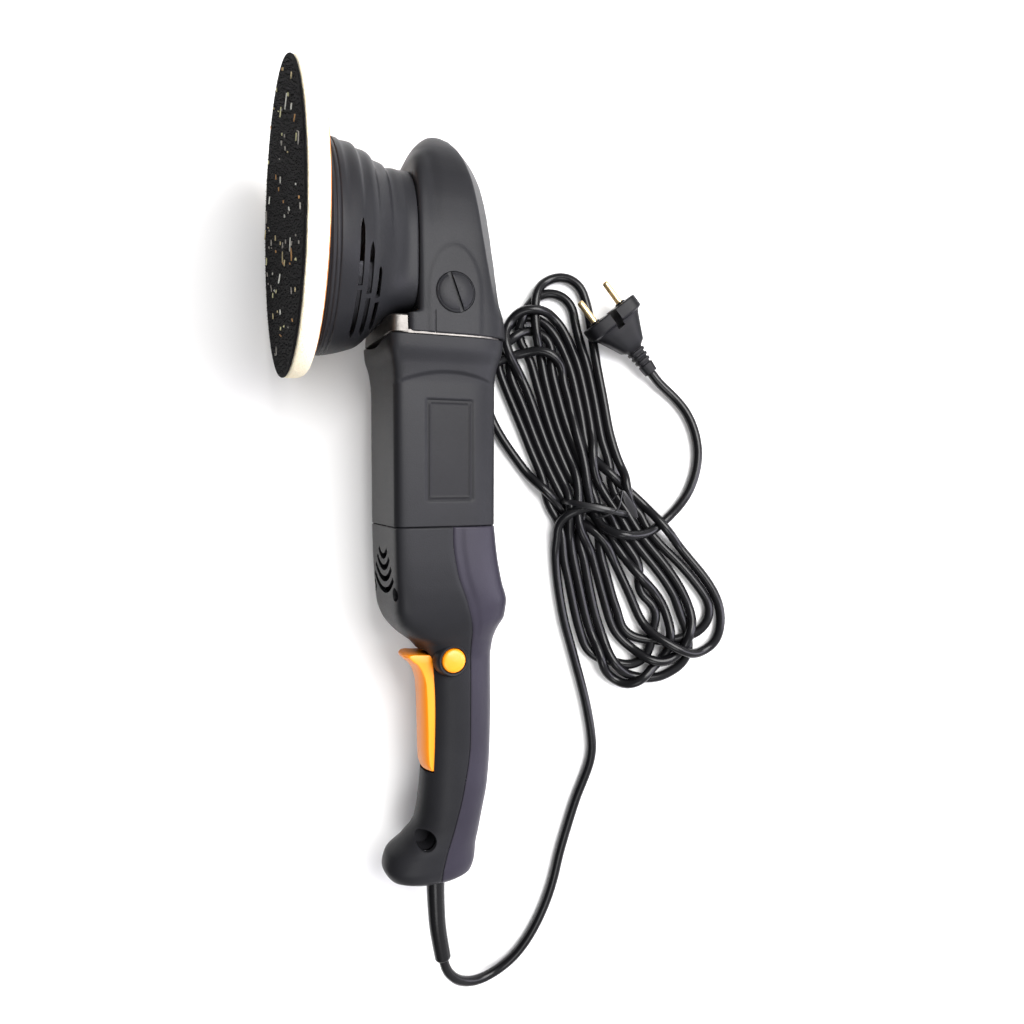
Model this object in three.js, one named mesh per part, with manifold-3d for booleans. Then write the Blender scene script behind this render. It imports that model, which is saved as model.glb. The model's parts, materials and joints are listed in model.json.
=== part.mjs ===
// A dual action polisher, lying on its side with its lead tied in a hank beside it.
// Millimetres, +Z up. The tool is built in its own frame and then laid down on the table:
// tool X points from the backing plate to the head's back, tool Y along the motor to the head's tip,
// and tool Z out of the side that faces up.
import * as THREE from 'three';
import { mergeVertices } from 'three/addons/utils/BufferGeometryUtils.js';
import Module from 'manifold-3d';

const wasm = await Module();
wasm.setup();

// Driving dimensions
const GAP = 0.3;
const RUNNING_GAP = 0.15;
const WALL = 2.5;
const PLATE_RADIUS = 80;
const PLATE_SIDES = 48;
const THROW_OFFSET = 10.5;
const SEAM_FRONT = -47;
const SEAM_REAR = -148;
const HANDLE_END = -351;
const SHAFT_RADIUS = 4;
const SPINDLE_RADIUS = 8;
const GEAR_TEETH = 38;
const PINION_TEETH = 9;
const CORD_DIAMETER = 5.7;
const PIN_SPACING = 19;
const PIN_RADIUS = 2;
const NOTCH_HALF = 2.3;
const NOTCH_DEPTH = 11;

// How the tool lies: rolled on to the plate's rim, with the handle a little lower than the head
const REST_ROLL = 23.05;
const REST_PITCH = 2.4;

const materials = {
  housing: { color: 0x2c2d31, roughness: 0.62, metalness: 0 },
  rearCover: { color: 0x2f2d36, roughness: 0.6, metalness: 0 },
  label: { color: 0x24252a, roughness: 0.5, metalness: 0 },
  accent: { color: 0xff9d0a, roughness: 0.38, metalness: 0 },
  alloy: { color: 0x8f9093, roughness: 0.42, metalness: 0.9 },
  steel: { color: 0xb4b6ba, roughness: 0.3, metalness: 1 },
  castIron: { color: 0x55575b, roughness: 0.6, metalness: 0.8 },
  copper: { color: 0xb0693a, roughness: 0.4, metalness: 0.9 },
  brass: { color: 0xc9a24b, roughness: 0.3, metalness: 1 },
  carbon: { color: 0x242424, roughness: 0.8, metalness: 0 },
  electronics: { color: 0x3c4a44, roughness: 0.6, metalness: 0 },
  fibre: { color: 0xb5601f, roughness: 0.7, metalness: 0 },
  foam: { color: 0xfdeec2, roughness: 0.95, metalness: 0 },
  hook: { color: 0x0b0b0c, roughness: 1, metalness: 0 },
  cord: { color: 0x101012, roughness: 0.35, metalness: 0 },
  plug: { color: 0x2b2c30, roughness: 0.5, metalness: 0 },
};

// Solids: three.js geometry to manifold-3d and back
function toSolid(geometry) {
  const bare = geometry.clone();
  bare.deleteAttribute('normal');
  bare.deleteAttribute('uv');
  const merged = mergeVertices(bare, 1e-4);
  return new wasm.Manifold(new wasm.Mesh({
    numProp: 3,
    vertProperties: new Float32Array(merged.attributes.position.array),
    triVerts: new Uint32Array(merged.index.array),
  }));
}

function toGeometry(solid) {
  const mesh = solid.getMesh();
  const geometry = new THREE.BufferGeometry();
  geometry.setAttribute('position', new THREE.BufferAttribute(new Float32Array(mesh.vertProperties), 3));
  geometry.setIndex(new THREE.BufferAttribute(new Uint32Array(mesh.triVerts), 1));
  geometry.computeVertexNormals();
  return geometry;
}

function subtractAll(base, cutters) {
  return cutters.reduce((solid, cutter) => solid.subtract(cutter), base);
}

function joinAll(solids) {
  return solids.reduce((joined, solid) => joined.add(solid));
}

function addPart(group, name, shape, material) {
  const geometry = shape.isBufferGeometry ? shape : toGeometry(shape);
  const mesh = new THREE.Mesh(geometry, new THREE.MeshStandardMaterial(materials[material]));
  mesh.name = name;
  group.add(mesh);
  return mesh;
}

// Basic closed shapes. A turned profile is a list of [radius, distance along the axis].
function turned(profile, segments, axis = 'y') {
  const points = profile.map(([radius, along]) => new THREE.Vector2(radius, along));
  const geometry = new THREE.LatheGeometry(points, segments);
  if (axis === 'x') {
    geometry.rotateZ(-Math.PI / 2);
  }
  if (axis === 'z') {
    geometry.rotateX(Math.PI / 2);
  }
  return toSolid(geometry);
}

function disc(radius, from, to, segments, axis) {
  return turned([[0, from], [radius, from], [radius, to], [0, to]], segments, axis);
}

function ring(outer, inner, from, to, segments, axis) {
  return turned([[inner, from], [outer, from], [outer, to], [inner, to], [inner, from]], segments, axis);
}

function block(x0, x1, y0, y1, z0, z1) {
  const geometry = new THREE.BoxGeometry(x1 - x0, y1 - y0, z1 - z0);
  geometry.translate((x0 + x1) / 2, (y0 + y1) / 2, (z0 + z1) / 2);
  return toSolid(geometry);
}

function sideProfile(points, z0, z1) {
  const shape = new THREE.Shape(points.map(([x, y]) => new THREE.Vector2(x, y)));
  const geometry = new THREE.ExtrudeGeometry(shape, { depth: z1 - z0, bevelEnabled: false });
  geometry.translate(0, 0, z0);
  return toSolid(geometry);
}

// A superellipse's reach in a direction: power 2 is an ellipse, and a high power is nearly a rectangle
function reach(across, up, halfAcross, halfUp, power) {
  const sum = Math.abs(across / halfAcross) ** power + Math.abs(up / halfUp) ** power;
  return sum ** (-1 / power);
}

function smooth(low, high, value) {
  const t = Math.min(Math.max((value - low) / (high - low), 0), 1);
  return t * t * (3 - 2 * t);
}

// A body along Y, inset by a wall, through stations of y, front x, back x, half width in z,
// and the power of its back corners and of its front corners
function bodyAlongY(stations, sides, inset = 0, y0 = null, y1 = null) {
  const rows = stations.length - 1;
  const geometry = new THREE.CylinderGeometry(1, 1, rows, sides, rows);
  const position = geometry.attributes.position;
  for (let i = 0; i < position.count; i += 1) {
    const row = Math.round(position.getY(i) + rows / 2);
    const [y, front, back, half, backPower, frontPower = backPower] = stations[row];
    const middle = (front + back) / 2;
    const across = position.getX(i);
    const up = position.getZ(i);
    const power = across < 0 ? frontPower : backPower;
    const far = Math.hypot(across, up) < 0.5 ? 0
      : reach(across, up, (back - front) / 2 - inset, half - inset, power);
    let along = y;
    if (row === 0 && y0 !== null) {
      along = y0;
    }
    if (row === rows && y1 !== null) {
      along = y1;
    }
    position.setXYZ(i, middle + across * far, along, up * far);
  }
  return toSolid(geometry);
}

// A body along X whose section at each station comes from a function of the angle
function bodyAlongX(stations, sides, sectionReach) {
  const rows = stations.length - 1;
  const geometry = new THREE.CylinderGeometry(1, 1, rows, sides, rows);
  const position = geometry.attributes.position;
  for (let i = 0; i < position.count; i += 1) {
    const row = Math.round(position.getY(i) + rows / 2);
    const x = stations[row];
    const tip = position.getX(i);
    const up = position.getZ(i);
    const far = Math.hypot(tip, up) < 0.5 ? 0 : sectionReach(x, tip, up);
    position.setXYZ(i, x, tip * far, -up * far);
  }
  return toSolid(geometry);
}

// Backing plate, turned about X and centred on its own axis
const PLATE_FACE = -PLATE_RADIUS;
const HOOK_THICKNESS = 1.4;
const FOAM_BACK = -71.5;
const SHELL_BACK = -69;
const HUB_BACK = -62.6;
const STUD_FLANGE_RADIUS = 11;

function hookFace() {
  return disc(PLATE_RADIUS, PLATE_FACE, PLATE_FACE + HOOK_THICKNESS, PLATE_SIDES, 'x');
}

function plateFoam() {
  const front = PLATE_FACE + HOOK_THICKNESS + GAP;
  return turned([
    [0, front], [PLATE_RADIUS - 0.6, front], [PLATE_RADIUS - 0.4, front + 2],
    [PLATE_RADIUS - 2, front + 4.5], [PLATE_RADIUS - 5, FOAM_BACK], [0, FOAM_BACK],
  ], PLATE_SIDES, 'x');
}

function plateShell() {
  const front = FOAM_BACK + GAP;
  const disk = turned([
    [0, front], [73.5, front], [73.8, SHELL_BACK - 0.4], [73, SHELL_BACK], [40, SHELL_BACK + 0.8],
    [27, SHELL_BACK + 1.5], [24, HUB_BACK - GAP], [STUD_FLANGE_RADIUS + GAP, HUB_BACK - GAP],
    [STUD_FLANGE_RADIUS + GAP, SHELL_BACK], [0, SHELL_BACK],
  ], PLATE_SIDES, 'x');
  return disk;
}

function plateStud() {
  const base = SHELL_BACK + GAP;
  return turned([
    [0, base], [STUD_FLANGE_RADIUS, base], [STUD_FLANGE_RADIUS, base + 2.6],
    [4, base + 2.6], [4, -51], [3, -50], [0, -50],
  ], 24, 'x');
}

function plateSpindle() {
  const flange = disc(15, HUB_BACK, HUB_BACK + 3.2, 6, 'x');
  const sleeve = disc(11, HUB_BACK + 1, -49, 24, 'x');
  const bore = disc(4 + GAP, HUB_BACK - 1, -48, 20, 'x');
  return flange.add(sleeve).subtract(bore);
}

// Drive under the head: eccentric with its counterweight, spindle and bevel gear
const BEARING_POCKET = 20.4;

function eccentric() {
  const web = disc(33, -45, -38, 40, 'x');
  const pocketWall = disc(24.5, -58, -38, 40, 'x').translate([0, THROW_OFFSET, 0]);
  const weightRing = disc(43, -57, -40, 48, 'x');
  const weight = weightRing.intersect(block(-60, -36, -44, -15, -44, 44));
  const pocket = disc(BEARING_POCKET, -60, -48.5, 40, 'x').translate([0, THROW_OFFSET, 0]);
  const screwSeat = disc(7, -50, -45, 24, 'x');
  const spindleHole = disc(SPINDLE_RADIUS + RUNNING_GAP, -46, -37, 24, 'x');
  return subtractAll(joinAll([web, pocketWall, weight]), [pocket, screwSeat, spindleHole]);
}

function eccentricScrew() {
  return turned([[0, -48.2], [6, -48.2], [6.4, -47.6], [6.4, -45.4], [0, -45.4]], 12, 'x');
}

function plateBearing() {
  return ring(BEARING_POCKET - 0.2, 11 + RUNNING_GAP, -57.8, -48.8, 32, 'x');
}

function spindle() {
  return turned([
    [0, -45], [7.6, -45], [SPINDLE_RADIUS, -44.6], [SPINDLE_RADIUS, -37.6], [11, -37.4], [11, -33.4],
    [SPINDLE_RADIUS, -33.2], [SPINDLE_RADIUS, 23.4], [7.4, 24], [0, 24],
  ], 24, 'x');
}

const GEAR_FACE = 6.2;
const GEAR_TIP_RADIUS = 23.4;

// A toothed outline with two points on each tooth and two in each space
function toothedShape(teeth, tipRadius, rootRadius) {
  const outline = [];
  for (let i = 0; i < teeth * 4; i += 1) {
    const angle = Math.PI * i / (2 * teeth);
    const radius = i % 4 < 2 ? tipRadius : rootRadius;
    outline.push(new THREE.Vector2(radius * Math.cos(angle), radius * Math.sin(angle)));
  }
  return new THREE.Shape(outline);
}

function bevelGear() {
  const blank = turned([
    [0, GEAR_FACE + 2.6], [GEAR_TIP_RADIUS - 2, GEAR_FACE + 2.6], [15, 15], [15, 17.4], [0, 17.4],
  ], 24, 'x');
  const teeth = new THREE.ExtrudeGeometry(
    toothedShape(GEAR_TEETH, GEAR_TIP_RADIUS, GEAR_TIP_RADIUS - 2), { depth: 3.4, bevelEnabled: false },
  );
  teeth.rotateY(Math.PI / 2);
  teeth.translate(GEAR_FACE, 0, 0);
  const faceHollow = disc(15.6, GEAR_FACE - 1, GEAR_FACE + 2.4, 28, 'x');
  const bore = disc(SPINDLE_RADIUS + RUNNING_GAP, 0, 20, 24, 'x');
  return subtractAll(toSolid(teeth).add(blank), [faceHollow, bore]);
}

// Motor: everything turned about Y
function motorShaft() {
  return turned([
    [0, -157], [3.4, -157], [SHAFT_RADIUS, -156.4], [SHAFT_RADIUS, -15], [3.4, -14.4], [0, -14.4],
  ], 20);
}

function pinion() {
  const geometry = new THREE.ExtrudeGeometry(
    toothedShape(PINION_TEETH, 5.8, 4.9), { depth: 10, bevelEnabled: false },
  );
  geometry.rotateX(Math.PI / 2);
  geometry.translate(0, -15.4, 0);
  const collar = disc(7, -34.5, -25, 20);
  return toSolid(geometry).add(collar).subtract(disc(SHAFT_RADIUS + RUNNING_GAP, -40, -10, 20));
}

function fan() {
  const hub = disc(9, -60.5, -51, 20);
  const backPlate = disc(25, -60.5, -59, 32);
  const blades = [];
  const bladeCount = 12;
  for (let i = 0; i < bladeCount; i += 1) {
    const blade = block(8.5, 25, -59.4, -51.5, -0.7, 0.7);
    blades.push(blade.rotate([0, 360 * i / bladeCount, 0]));
  }
  return joinAll([hub, backPlate, ...blades]).subtract(disc(SHAFT_RADIUS + RUNNING_GAP, -62, -50, 20));
}

function armatureCore() {
  return ring(18, SHAFT_RADIUS + RUNNING_GAP, -119, -71, 24);
}

function commutator() {
  return ring(11, SHAFT_RADIUS + RUNNING_GAP, -141, -127, 24);
}

function statorCore() {
  return ring(26.4, 18.6, -120, -70, 32);
}

function fieldWinding(from, to) {
  return ring(25, 19.5, from, to, 24);
}

function bearing(outer, inner, from, to, axis) {
  return ring(outer, inner + RUNNING_GAP, from, to, 24, axis);
}

function bearingBracket() {
  const plate = ring(27, 7, -149.6, -146.8, 32);
  const cup = ring(12.5, 10 + RUNNING_GAP, -156.6, -149, 24);
  return plate.add(cup);
}

function brushHolder(side) {
  const outer = block(-5.6, 5.6, -139.4, -128.6, 13, 26.4);
  const slot = block(-3.6, 3.6, -137.4, -130.6, 11, 28);
  const holder = outer.subtract(slot);
  return side > 0 ? holder : holder.rotate([0, 180, 0]);
}

function carbonBrush(side) {
  const brush = block(-3.3, 3.3, -137.1, -130.9, 11.3, 22);
  return side > 0 ? brush : brush.rotate([0, 180, 0]);
}

// Head: gear case, bearing plate, cover and shroud
const NECK_HALF = 31;
const NECK_TIP = 45;
const NECK_HEEL = 33;
const COVER_FRONT = -17.6;
const FLANGE_HALF = 33;

function gearCase() {
  const drum = turned([
    [0, COVER_FRONT + GAP], [28, COVER_FRONT + GAP], [28, 17], [25.6, 22], [0, 22],
  ], 32, 'x');
  const neck = block(-16, 21, -46, -18, -24, 24);
  const flange = bodyAlongY([
    [SEAM_FRONT + GAP, -FLANGE_HALF, FLANGE_HALF, FLANGE_HALF, 4.4, 7],
    [SEAM_FRONT + 2, -FLANGE_HALF, FLANGE_HALF, FLANGE_HALF, 4.4, 7],
  ], 40);
  const frontBlock = bodyAlongY([
    [SEAM_FRONT + 1, -FLANGE_HALF, -4, 30, 5, 7],
    [SEAM_FRONT + 10, -FLANGE_HALF + 0.6, -4, 29.4, 5, 7],
  ], 32);
  const gearRoom = turned([
    [0, COVER_FRONT - 1], [26.2, COVER_FRONT - 1], [26.2, 18.4], [0, 18.4],
  ], 32, 'x');
  const upperSeat = disc(11.2 + RUNNING_GAP, 18, 24.4, 24, 'x');
  const upperBoss = disc(13.4, 20, 25.2, 24, 'x');
  const pinionBore = disc(8, -50, -20, 20);
  const bearingSeat = disc(11.2 + RUNNING_GAP, -52, -36.6, 24);
  const shroudRelief = shroudBody(-GAP, COVER_FRONT);
  return subtractAll(joinAll([drum, neck, flange, frontBlock, upperBoss]),
    [gearRoom, upperSeat, pinionBore, bearingSeat, shroudRelief]);
}

function bearingPlate() {
  const plate = disc(27.4, -20.8, COVER_FRONT - GAP, 32, 'x');
  const boss = disc(17.6, -31, -20, 32, 'x');
  const seat = disc(13.2 + RUNNING_GAP, -32, -21.5, 24, 'x');
  const bore = disc(SPINDLE_RADIUS + 1.5, -33, -16, 24, 'x');
  return subtractAll(plate.add(boss), [seat, bore]);
}

function bearingRetainer() {
  return ring(16.6, 12.2, -32.9, -31.3, 24, 'x');
}

// The cover's back line and nose, as stations along Y
const COVER_STATIONS = [
  [SEAM_FRONT + 2.3, COVER_FRONT, 40, 33.4, 4.6, 20],
  [-38, COVER_FRONT, 40, 33.4, 4.6, 20],
  [-24, COVER_FRONT, 36.5, 33.2, 4.4, 20],
  [-8, COVER_FRONT, 32, 33, 4.2, 20],
  [8, COVER_FRONT, 29, 32.6, 4, 20],
  [24, COVER_FRONT, 26.5, 30.6, 3.8, 16],
  [38, COVER_FRONT, 23.6, 26.4, 3.4, 10],
  [47, COVER_FRONT, 20.6, 21.4, 3, 5],
  [55, -14, 17, 15.4, 2.6],
  [61, -9, 11.6, 9, 2.3],
  [64, -5, 6, 4.6, 2],
];

function headCover() {
  const outer = bodyAlongY(COVER_STATIONS, 28);
  const innerStations = COVER_STATIONS.slice(0, 9);
  const inner = bodyAlongY(innerStations, 28, WALL, -60, 52)
    .add(bodyAlongY([[-60, COVER_FRONT - 20, 20, 28.6, 5], [30.4, COVER_FRONT - 20, 20, 28.6, 5]], 28));
  const flangeSeat = block(COVER_FRONT - 1, 0, -60, SEAM_FRONT + 10.4, -30.4, 30.4);
  const capSeats = [1, -1].map((side) => disc(10.9, 30.4, 40, 32, 'z')
    .rotate([side > 0 ? 0 : 180, 0, 0]).translate([2, -24, 0]));
  return subtractAll(outer, [inner, flangeSeat, ...capSeats]);
}

function sideCap(side) {
  const cap = turned([[0, 30.8], [10.5, 30.8], [10.5, 33.9], [9.6, 34.6], [0, 34.6]], 32, 'z');
  const slot = block(-1.1, 1.1, -12, 12, 33, 36).rotate([0, 0, 20]);
  const slotted = cap.subtract(slot);
  return slotted.rotate([side > 0 ? 0 : 180, 0, 0]).translate([2, -24, 0]);
}

// The shroud runs from the round rim over the throw to the head's neck
const SHROUD_SIDES = 36;
const SHROUD_STATIONS = [-61, -56, -48, -41, -34, -27, -20.5, COVER_FRONT - GAP];

function rimRadius(x) {
  return 43 + 13.2 * smooth(-18, -68, x) ** 0.86;
}

function neckReach(tip, up) {
  const halfTip = tip > 0 ? NECK_TIP : NECK_HEEL;
  const power = tip > 0 ? 2.3 : 4.5;
  return reach(tip, up, halfTip, NECK_HALF, power);
}

function shroudReach(x, tip, up, inset) {
  const toNeck = smooth(-46, -21, x);
  return rimRadius(x) * (1 - toNeck) + neckReach(tip, up) * toNeck - inset;
}

function shroudVents() {
  const vents = [];
  for (let row = 0; row < 3; row += 1) {
    for (const [low, high] of [[-31 + 5 * row, -17 + 4 * row], [-44, -34 + 5 * row]]) {
      const x = -46 + 7 * row;
      const y0 = Math.min(low, -14);
      vents.push(block(x - 1.7, x + 1.7, y0, Math.max(high - 3, y0 + 6), 22, 58));
    }
  }
  return vents;
}

function shroudBody(inset, end, start = SHROUD_STATIONS[0]) {
  const stations = [start, ...SHROUD_STATIONS.slice(1, -1), end];
  return bodyAlongX(stations, SHROUD_SIDES, (x, tip, up) => shroudReach(x, tip, up, inset));
}

function shroud() {
  const outer = shroudBody(0, COVER_FRONT - GAP);
  const inner = shroudBody(WALL, COVER_FRONT + 2, -63);
  return subtractAll(outer, [inner, ...shroudVents()]);
}

// Motor housing: a flare at the gear case, then a rounded square
const HOUSING_STATIONS = [
  [SEAM_REAR + GAP / 2, -30, 30, 30, 4.4, 7],
  [-72, -30, 30, 30, 4.4, 7],
  [-62, -31, 31, 31, 4.4, 7],
  [-53, -33.2, 33.4, 33.2, 4.4, 7],
  [SEAM_FRONT, -33.7, 34, 33.7, 4.4, 7],
];
const LABEL = { x0: -14, x1: 14, y0: -134, y1: -80 };

function motorHousing() {
  const outer = bodyAlongY(HOUSING_STATIONS, 32);
  const inner = bodyAlongY(HOUSING_STATIONS, 32, WALL, SEAM_REAR - 2, SEAM_FRONT + 2);
  const labelSeats = [1, -1].map((side) => block(
    LABEL.x0, LABEL.x1, LABEL.y0, LABEL.y1, Math.min(side * 28.6, side * 40), Math.max(side * 28.6, side * 40),
  ));
  return subtractAll(outer, [inner, ...labelSeats]);
}

function labelPlate(side) {
  const plate = block(LABEL.x0 + GAP, LABEL.x1 - GAP, LABEL.y0 + GAP, LABEL.y1 - GAP, 28.9, 29.7);
  return side > 0 ? plate : plate.rotate([0, 180, 0]);
}

// Handle: two shells that part along a curved seam on both sides
const HANDLE_SIDES = 20;
const HANDLE_STATIONS = [
  [HANDLE_END, -20, 15.5, 12.5, 2.6],
  [-348, -27.6, 20.5, 16, 2.5],
  [-341, -31, 22.8, 18, 2.4],
  [-333, -30, 23.6, 18, 2.3],
  [-325, -22, 25.4, 17.6, 2.2],
  [-315, -12.6, 27.6, 17, 2.2],
  [-298, -9, 31, 16.8, 2.2],
  [-275, -7.6, 32.6, 16.8, 2.2],
  [-250, -7, 33, 17, 2.2],
  [-224, -7.6, 32.6, 17.6, 2.4],
  [-215, -13, 33, 20, 2.8],
  [-208, -21.5, 35, 23.4, 3, 3.4],
  [-200, -27, 38.6, 26.6, 3.4, 4.4],
  [-192, -28.8, 38.8, 28.4, 3.8, 5.6],
  [-180, -29.2, 35.2, 29.6, 4.1, 6.4],
  [-165, -29.7, 32, 30, 4.3, 6.8],
  [SEAM_REAR - GAP / 2, -30, 30, 30, 4.4, 7],
];
const SHELL_SEAM = [
  [-1, -360], [-1, -345], [1, -335], [7, -317], [12, -298], [15.9, -270], [16, -235],
  [15, -208], [11, -192], [4, -172], [1.6, -155], [1.6, -140],
];

function handleSolid() {
  const outer = bodyAlongY(HANDLE_STATIONS, HANDLE_SIDES);
  const innerStations = HANDLE_STATIONS.slice(1);
  const inner = bodyAlongY(innerStations, HANDLE_SIDES, WALL, -348.4, SEAM_REAR + 2);
  return outer.subtract(inner);
}

function seamRegion(direction) {
  const edge = SHELL_SEAM.map(([x, y]) => [x + direction * GAP / 2, y]);
  const far = direction * 80;
  const outline = [...edge, [far, SHELL_SEAM.at(-1)[1]], [far, SHELL_SEAM[0][1]]];
  return sideProfile(direction > 0 ? outline.reverse() : outline, -60, 60);
}

const SLEEVE_RADIUS = 5.1;
const BUTTON = { x: 5, y: -223, radius: 6.7 };
const TRIGGER = { top: -221, bottom: -287, half: 10.5 };
const DIAL = { x: 26.4, y: -186, radius: 11, half: 3 };
const END_RECESS = { x: -10.4, y: -321, radius: 5.3, floor: 3 };
const SCREW_PLACES = [[-184, 22], [-184, -22], [-300, 0], [-338.6, 0]];
const SCREW_HEAD_RADIUS = 3.4;
const SCREW_SHANK_RADIUS = 1.9;

// The x at which a screw's head sits, a little inside the front face
function screwSeat(y) {
  return y > -200 ? -25.5 : y > -330 ? -5 : -24;
}

function screwBoss(y, z) {
  return disc(SCREW_HEAD_RADIUS + 2, -60, 60, 10, 'x').translate([0, y, z]);
}

function screwBore(y, z) {
  const seat = screwSeat(y);
  const head = disc(SCREW_HEAD_RADIUS + GAP, -60, seat + 2.6, 10, 'x');
  const shank = disc(SCREW_SHANK_RADIUS + GAP, seat, seat + 34, 8, 'x');
  return head.add(shank).translate([0, y, z]);
}

function handleFrontShell() {
  const envelope = bodyAlongY(HANDLE_STATIONS, HANDLE_SIDES, 0.3);
  const region = seamRegion(-1);
  const collar = disc(9.6, 6, 19.4, 24, 'z').translate([BUTTON.x, BUTTON.y, 0]);
  const flangePocket = disc(8.5, 5, 13.7, 24, 'z').translate([BUTTON.x, BUTTON.y, 0]);
  const buttonHole = disc(BUTTON.radius + GAP, 8, 24, 24, 'z').translate([BUTTON.x, BUTTON.y, 0]);
  const slotHalf = TRIGGER.half + 0.5;
  const triggerSlot = block(-40, 10, TRIGGER.bottom - 1, TRIGGER.top + 2.2, -slotHalf, slotHalf);
  const sleeveHole = disc(SLEEVE_RADIUS + GAP, -360, -344.6, 16);
  const recessWall = disc(END_RECESS.radius + 2, -20, 20, 14, 'z');
  const recess = disc(END_RECESS.radius, END_RECESS.floor, 30, 14, 'z');
  const arcVents = [0, 1, 2, 3].map((i) => {
    const half = 13 - 2.4 * i;
    return block(-40, -20, -168.4 + 4 * i, -166.2 + 4 * i, -half, half);
  });
  const bosses = SCREW_PLACES.map(([y, z]) => screwBoss(y, z));
  const walls = joinAll([recessWall.translate([END_RECESS.x, END_RECESS.y, 0]), ...bosses]).intersect(envelope);
  const solid = joinAll([handleSolid(), walls]).intersect(region).add(collar);
  const bores = SCREW_PLACES.map(([y, z]) => screwBore(y, z));
  const recesses = [0, 180].map((turn) => recess.rotate([turn, 0, 0]).translate([END_RECESS.x, END_RECESS.y, 0]));
  return subtractAll(solid, [buttonHole, flangePocket, triggerSlot, sleeveHole, ...recesses, ...arcVents, ...bores]);
}

function handleBackShell() {
  const envelope = bodyAlongY(HANDLE_STATIONS, HANDLE_SIDES, 0.3);
  const bosses = SCREW_PLACES.map(([y, z]) => screwBoss(y, z));
  const solid = joinAll([handleSolid(), joinAll(bosses).intersect(envelope)]).intersect(seamRegion(1));
  const bores = SCREW_PLACES.map(([y, z]) => screwBore(y, z));
  const sleeveHole = disc(SLEEVE_RADIUS + GAP, -360, -344.6, 16);
  const dialSlot = block(28, 50, DIAL.y - 12, DIAL.y + 12, -DIAL.half - 0.8, DIAL.half + 0.8);
  return subtractAll(solid, [sleeveHole, dialSlot, ...bores]);
}

function trigger() {
  const outline = [
    [-6, -221], [-15.6, -221.3], [-16.4, -223.2], [-13, -228.4], [-11, -236], [-10.2, -248],
    [-9.8, -265], [-9.6, -282], [-8, TRIGGER.bottom], [0, TRIGGER.bottom], [1.2, -284], [1.6, -232], [0.6, -226],
  ];
  return sideProfile(outline.reverse(), -TRIGGER.half, TRIGGER.half);
}

function lockButton() {
  return turned([
    [0, 12.7], [8.2, 12.7], [8.2, 13.4], [BUTTON.radius, 13.5], [BUTTON.radius, 20.2],
    [BUTTON.radius - 1, 21], [0, 21.4],
  ], 24, 'z').translate([BUTTON.x, BUTTON.y, 0]);
}

function switchBody() {
  const body = block(9.6, 25, -286, -236, -8.4, 8.4);
  const slot = block(9, 18, -254.4, -245.6, -4.4, 4.4);
  return body.subtract(slot);
}

function switchPlunger() {
  return block(1.9, 12, -254, -246, -4, 4);
}

function speedModule() {
  return block(-12, 10, -204, -162, -15, 15);
}

function speedDial() {
  const knurls = [];
  const knurlCount = 18;
  for (let i = 0; i < knurlCount; i += 1) {
    const knurl = block(DIAL.radius - 1, DIAL.radius + 0.4, -0.6, 0.6, -DIAL.half, DIAL.half);
    knurls.push(knurl.rotate([0, 0, 360 * i / knurlCount]));
  }
  const wheel = disc(DIAL.radius, -DIAL.half, DIAL.half, 36, 'z');
  return joinAll([wheel, ...knurls]).translate([DIAL.x, DIAL.y, 0]);
}

function cordClamp() {
  return block(-5, 8, -332.6, -328, -9.6, 9.6);
}

function handleScrew(y, z) {
  const seat = screwSeat(y);
  const solid = turned([
    [0, seat], [SCREW_HEAD_RADIUS, seat], [SCREW_HEAD_RADIUS, seat + 2.3],
    [SCREW_SHANK_RADIUS, seat + 2.3], [SCREW_SHANK_RADIUS, seat + 32], [0, seat + 33],
  ], 10, 'x');
  return solid.translate([0, y, z]);
}

// A tube along points that lie at the cord's own height
function tube(points, radius, sides, steps) {
  const curve = new THREE.CatmullRomCurve3(points, false, 'centripetal');
  const section = new THREE.Shape();
  for (let i = 0; i < sides; i += 1) {
    const angle = 2 * Math.PI * i / sides;
    if (i === 0) {
      section.moveTo(radius, 0);
    } else {
      section.lineTo(radius * Math.cos(angle), radius * Math.sin(angle));
    }
  }
  return new THREE.ExtrudeGeometry(section, { steps, extrudePath: curve, bevelEnabled: false });
}

const SLEEVE_ROUTE = [[0, -345], [0, -354], [0.3, -368], [1.4, -382], [4.2, -395.6]];

function strainRelief() {
  const points = SLEEVE_ROUTE.map(([x, y]) => new THREE.Vector3(x, y, 0));
  return tube(points, SLEEVE_RADIUS, 12, 8);
}

const tool = new THREE.Group();

function buildPlate() {
  const plate = new THREE.Group();
  plate.position.set(0, THROW_OFFSET, 0);
  addPart(plate, 'hook_face', hookFace(), 'hook');
  addPart(plate, 'plate_foam', plateFoam(), 'foam');
  addPart(plate, 'plate_shell', plateShell(), 'fibre');
  addPart(plate, 'plate_stud', plateStud(), 'steel');
  addPart(plate, 'plate_spindle', plateSpindle(), 'steel');
  addPart(plate, 'plate_bearing', plateBearing(), 'steel');
  return plate;
}

function buildDrive() {
  const drive = new THREE.Group();
  addPart(drive, 'eccentric', eccentric(), 'castIron');
  addPart(drive, 'eccentric_screw', eccentricScrew(), 'steel');
  addPart(drive, 'spindle', spindle(), 'steel');
  addPart(drive, 'bevel_gear', bevelGear(), 'steel');
  addPart(drive, 'spindle_bearing_lower', bearing(13.2, SPINDLE_RADIUS, -31, -21.8, 'x'), 'steel');
  addPart(drive, 'spindle_bearing_upper', bearing(11.2, SPINDLE_RADIUS, 18.8, 24, 'x'), 'steel');
  addPart(drive, 'bearing_plate', bearingPlate(), 'alloy');
  addPart(drive, 'bearing_retainer', bearingRetainer(), 'steel');
  return drive;
}

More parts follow.
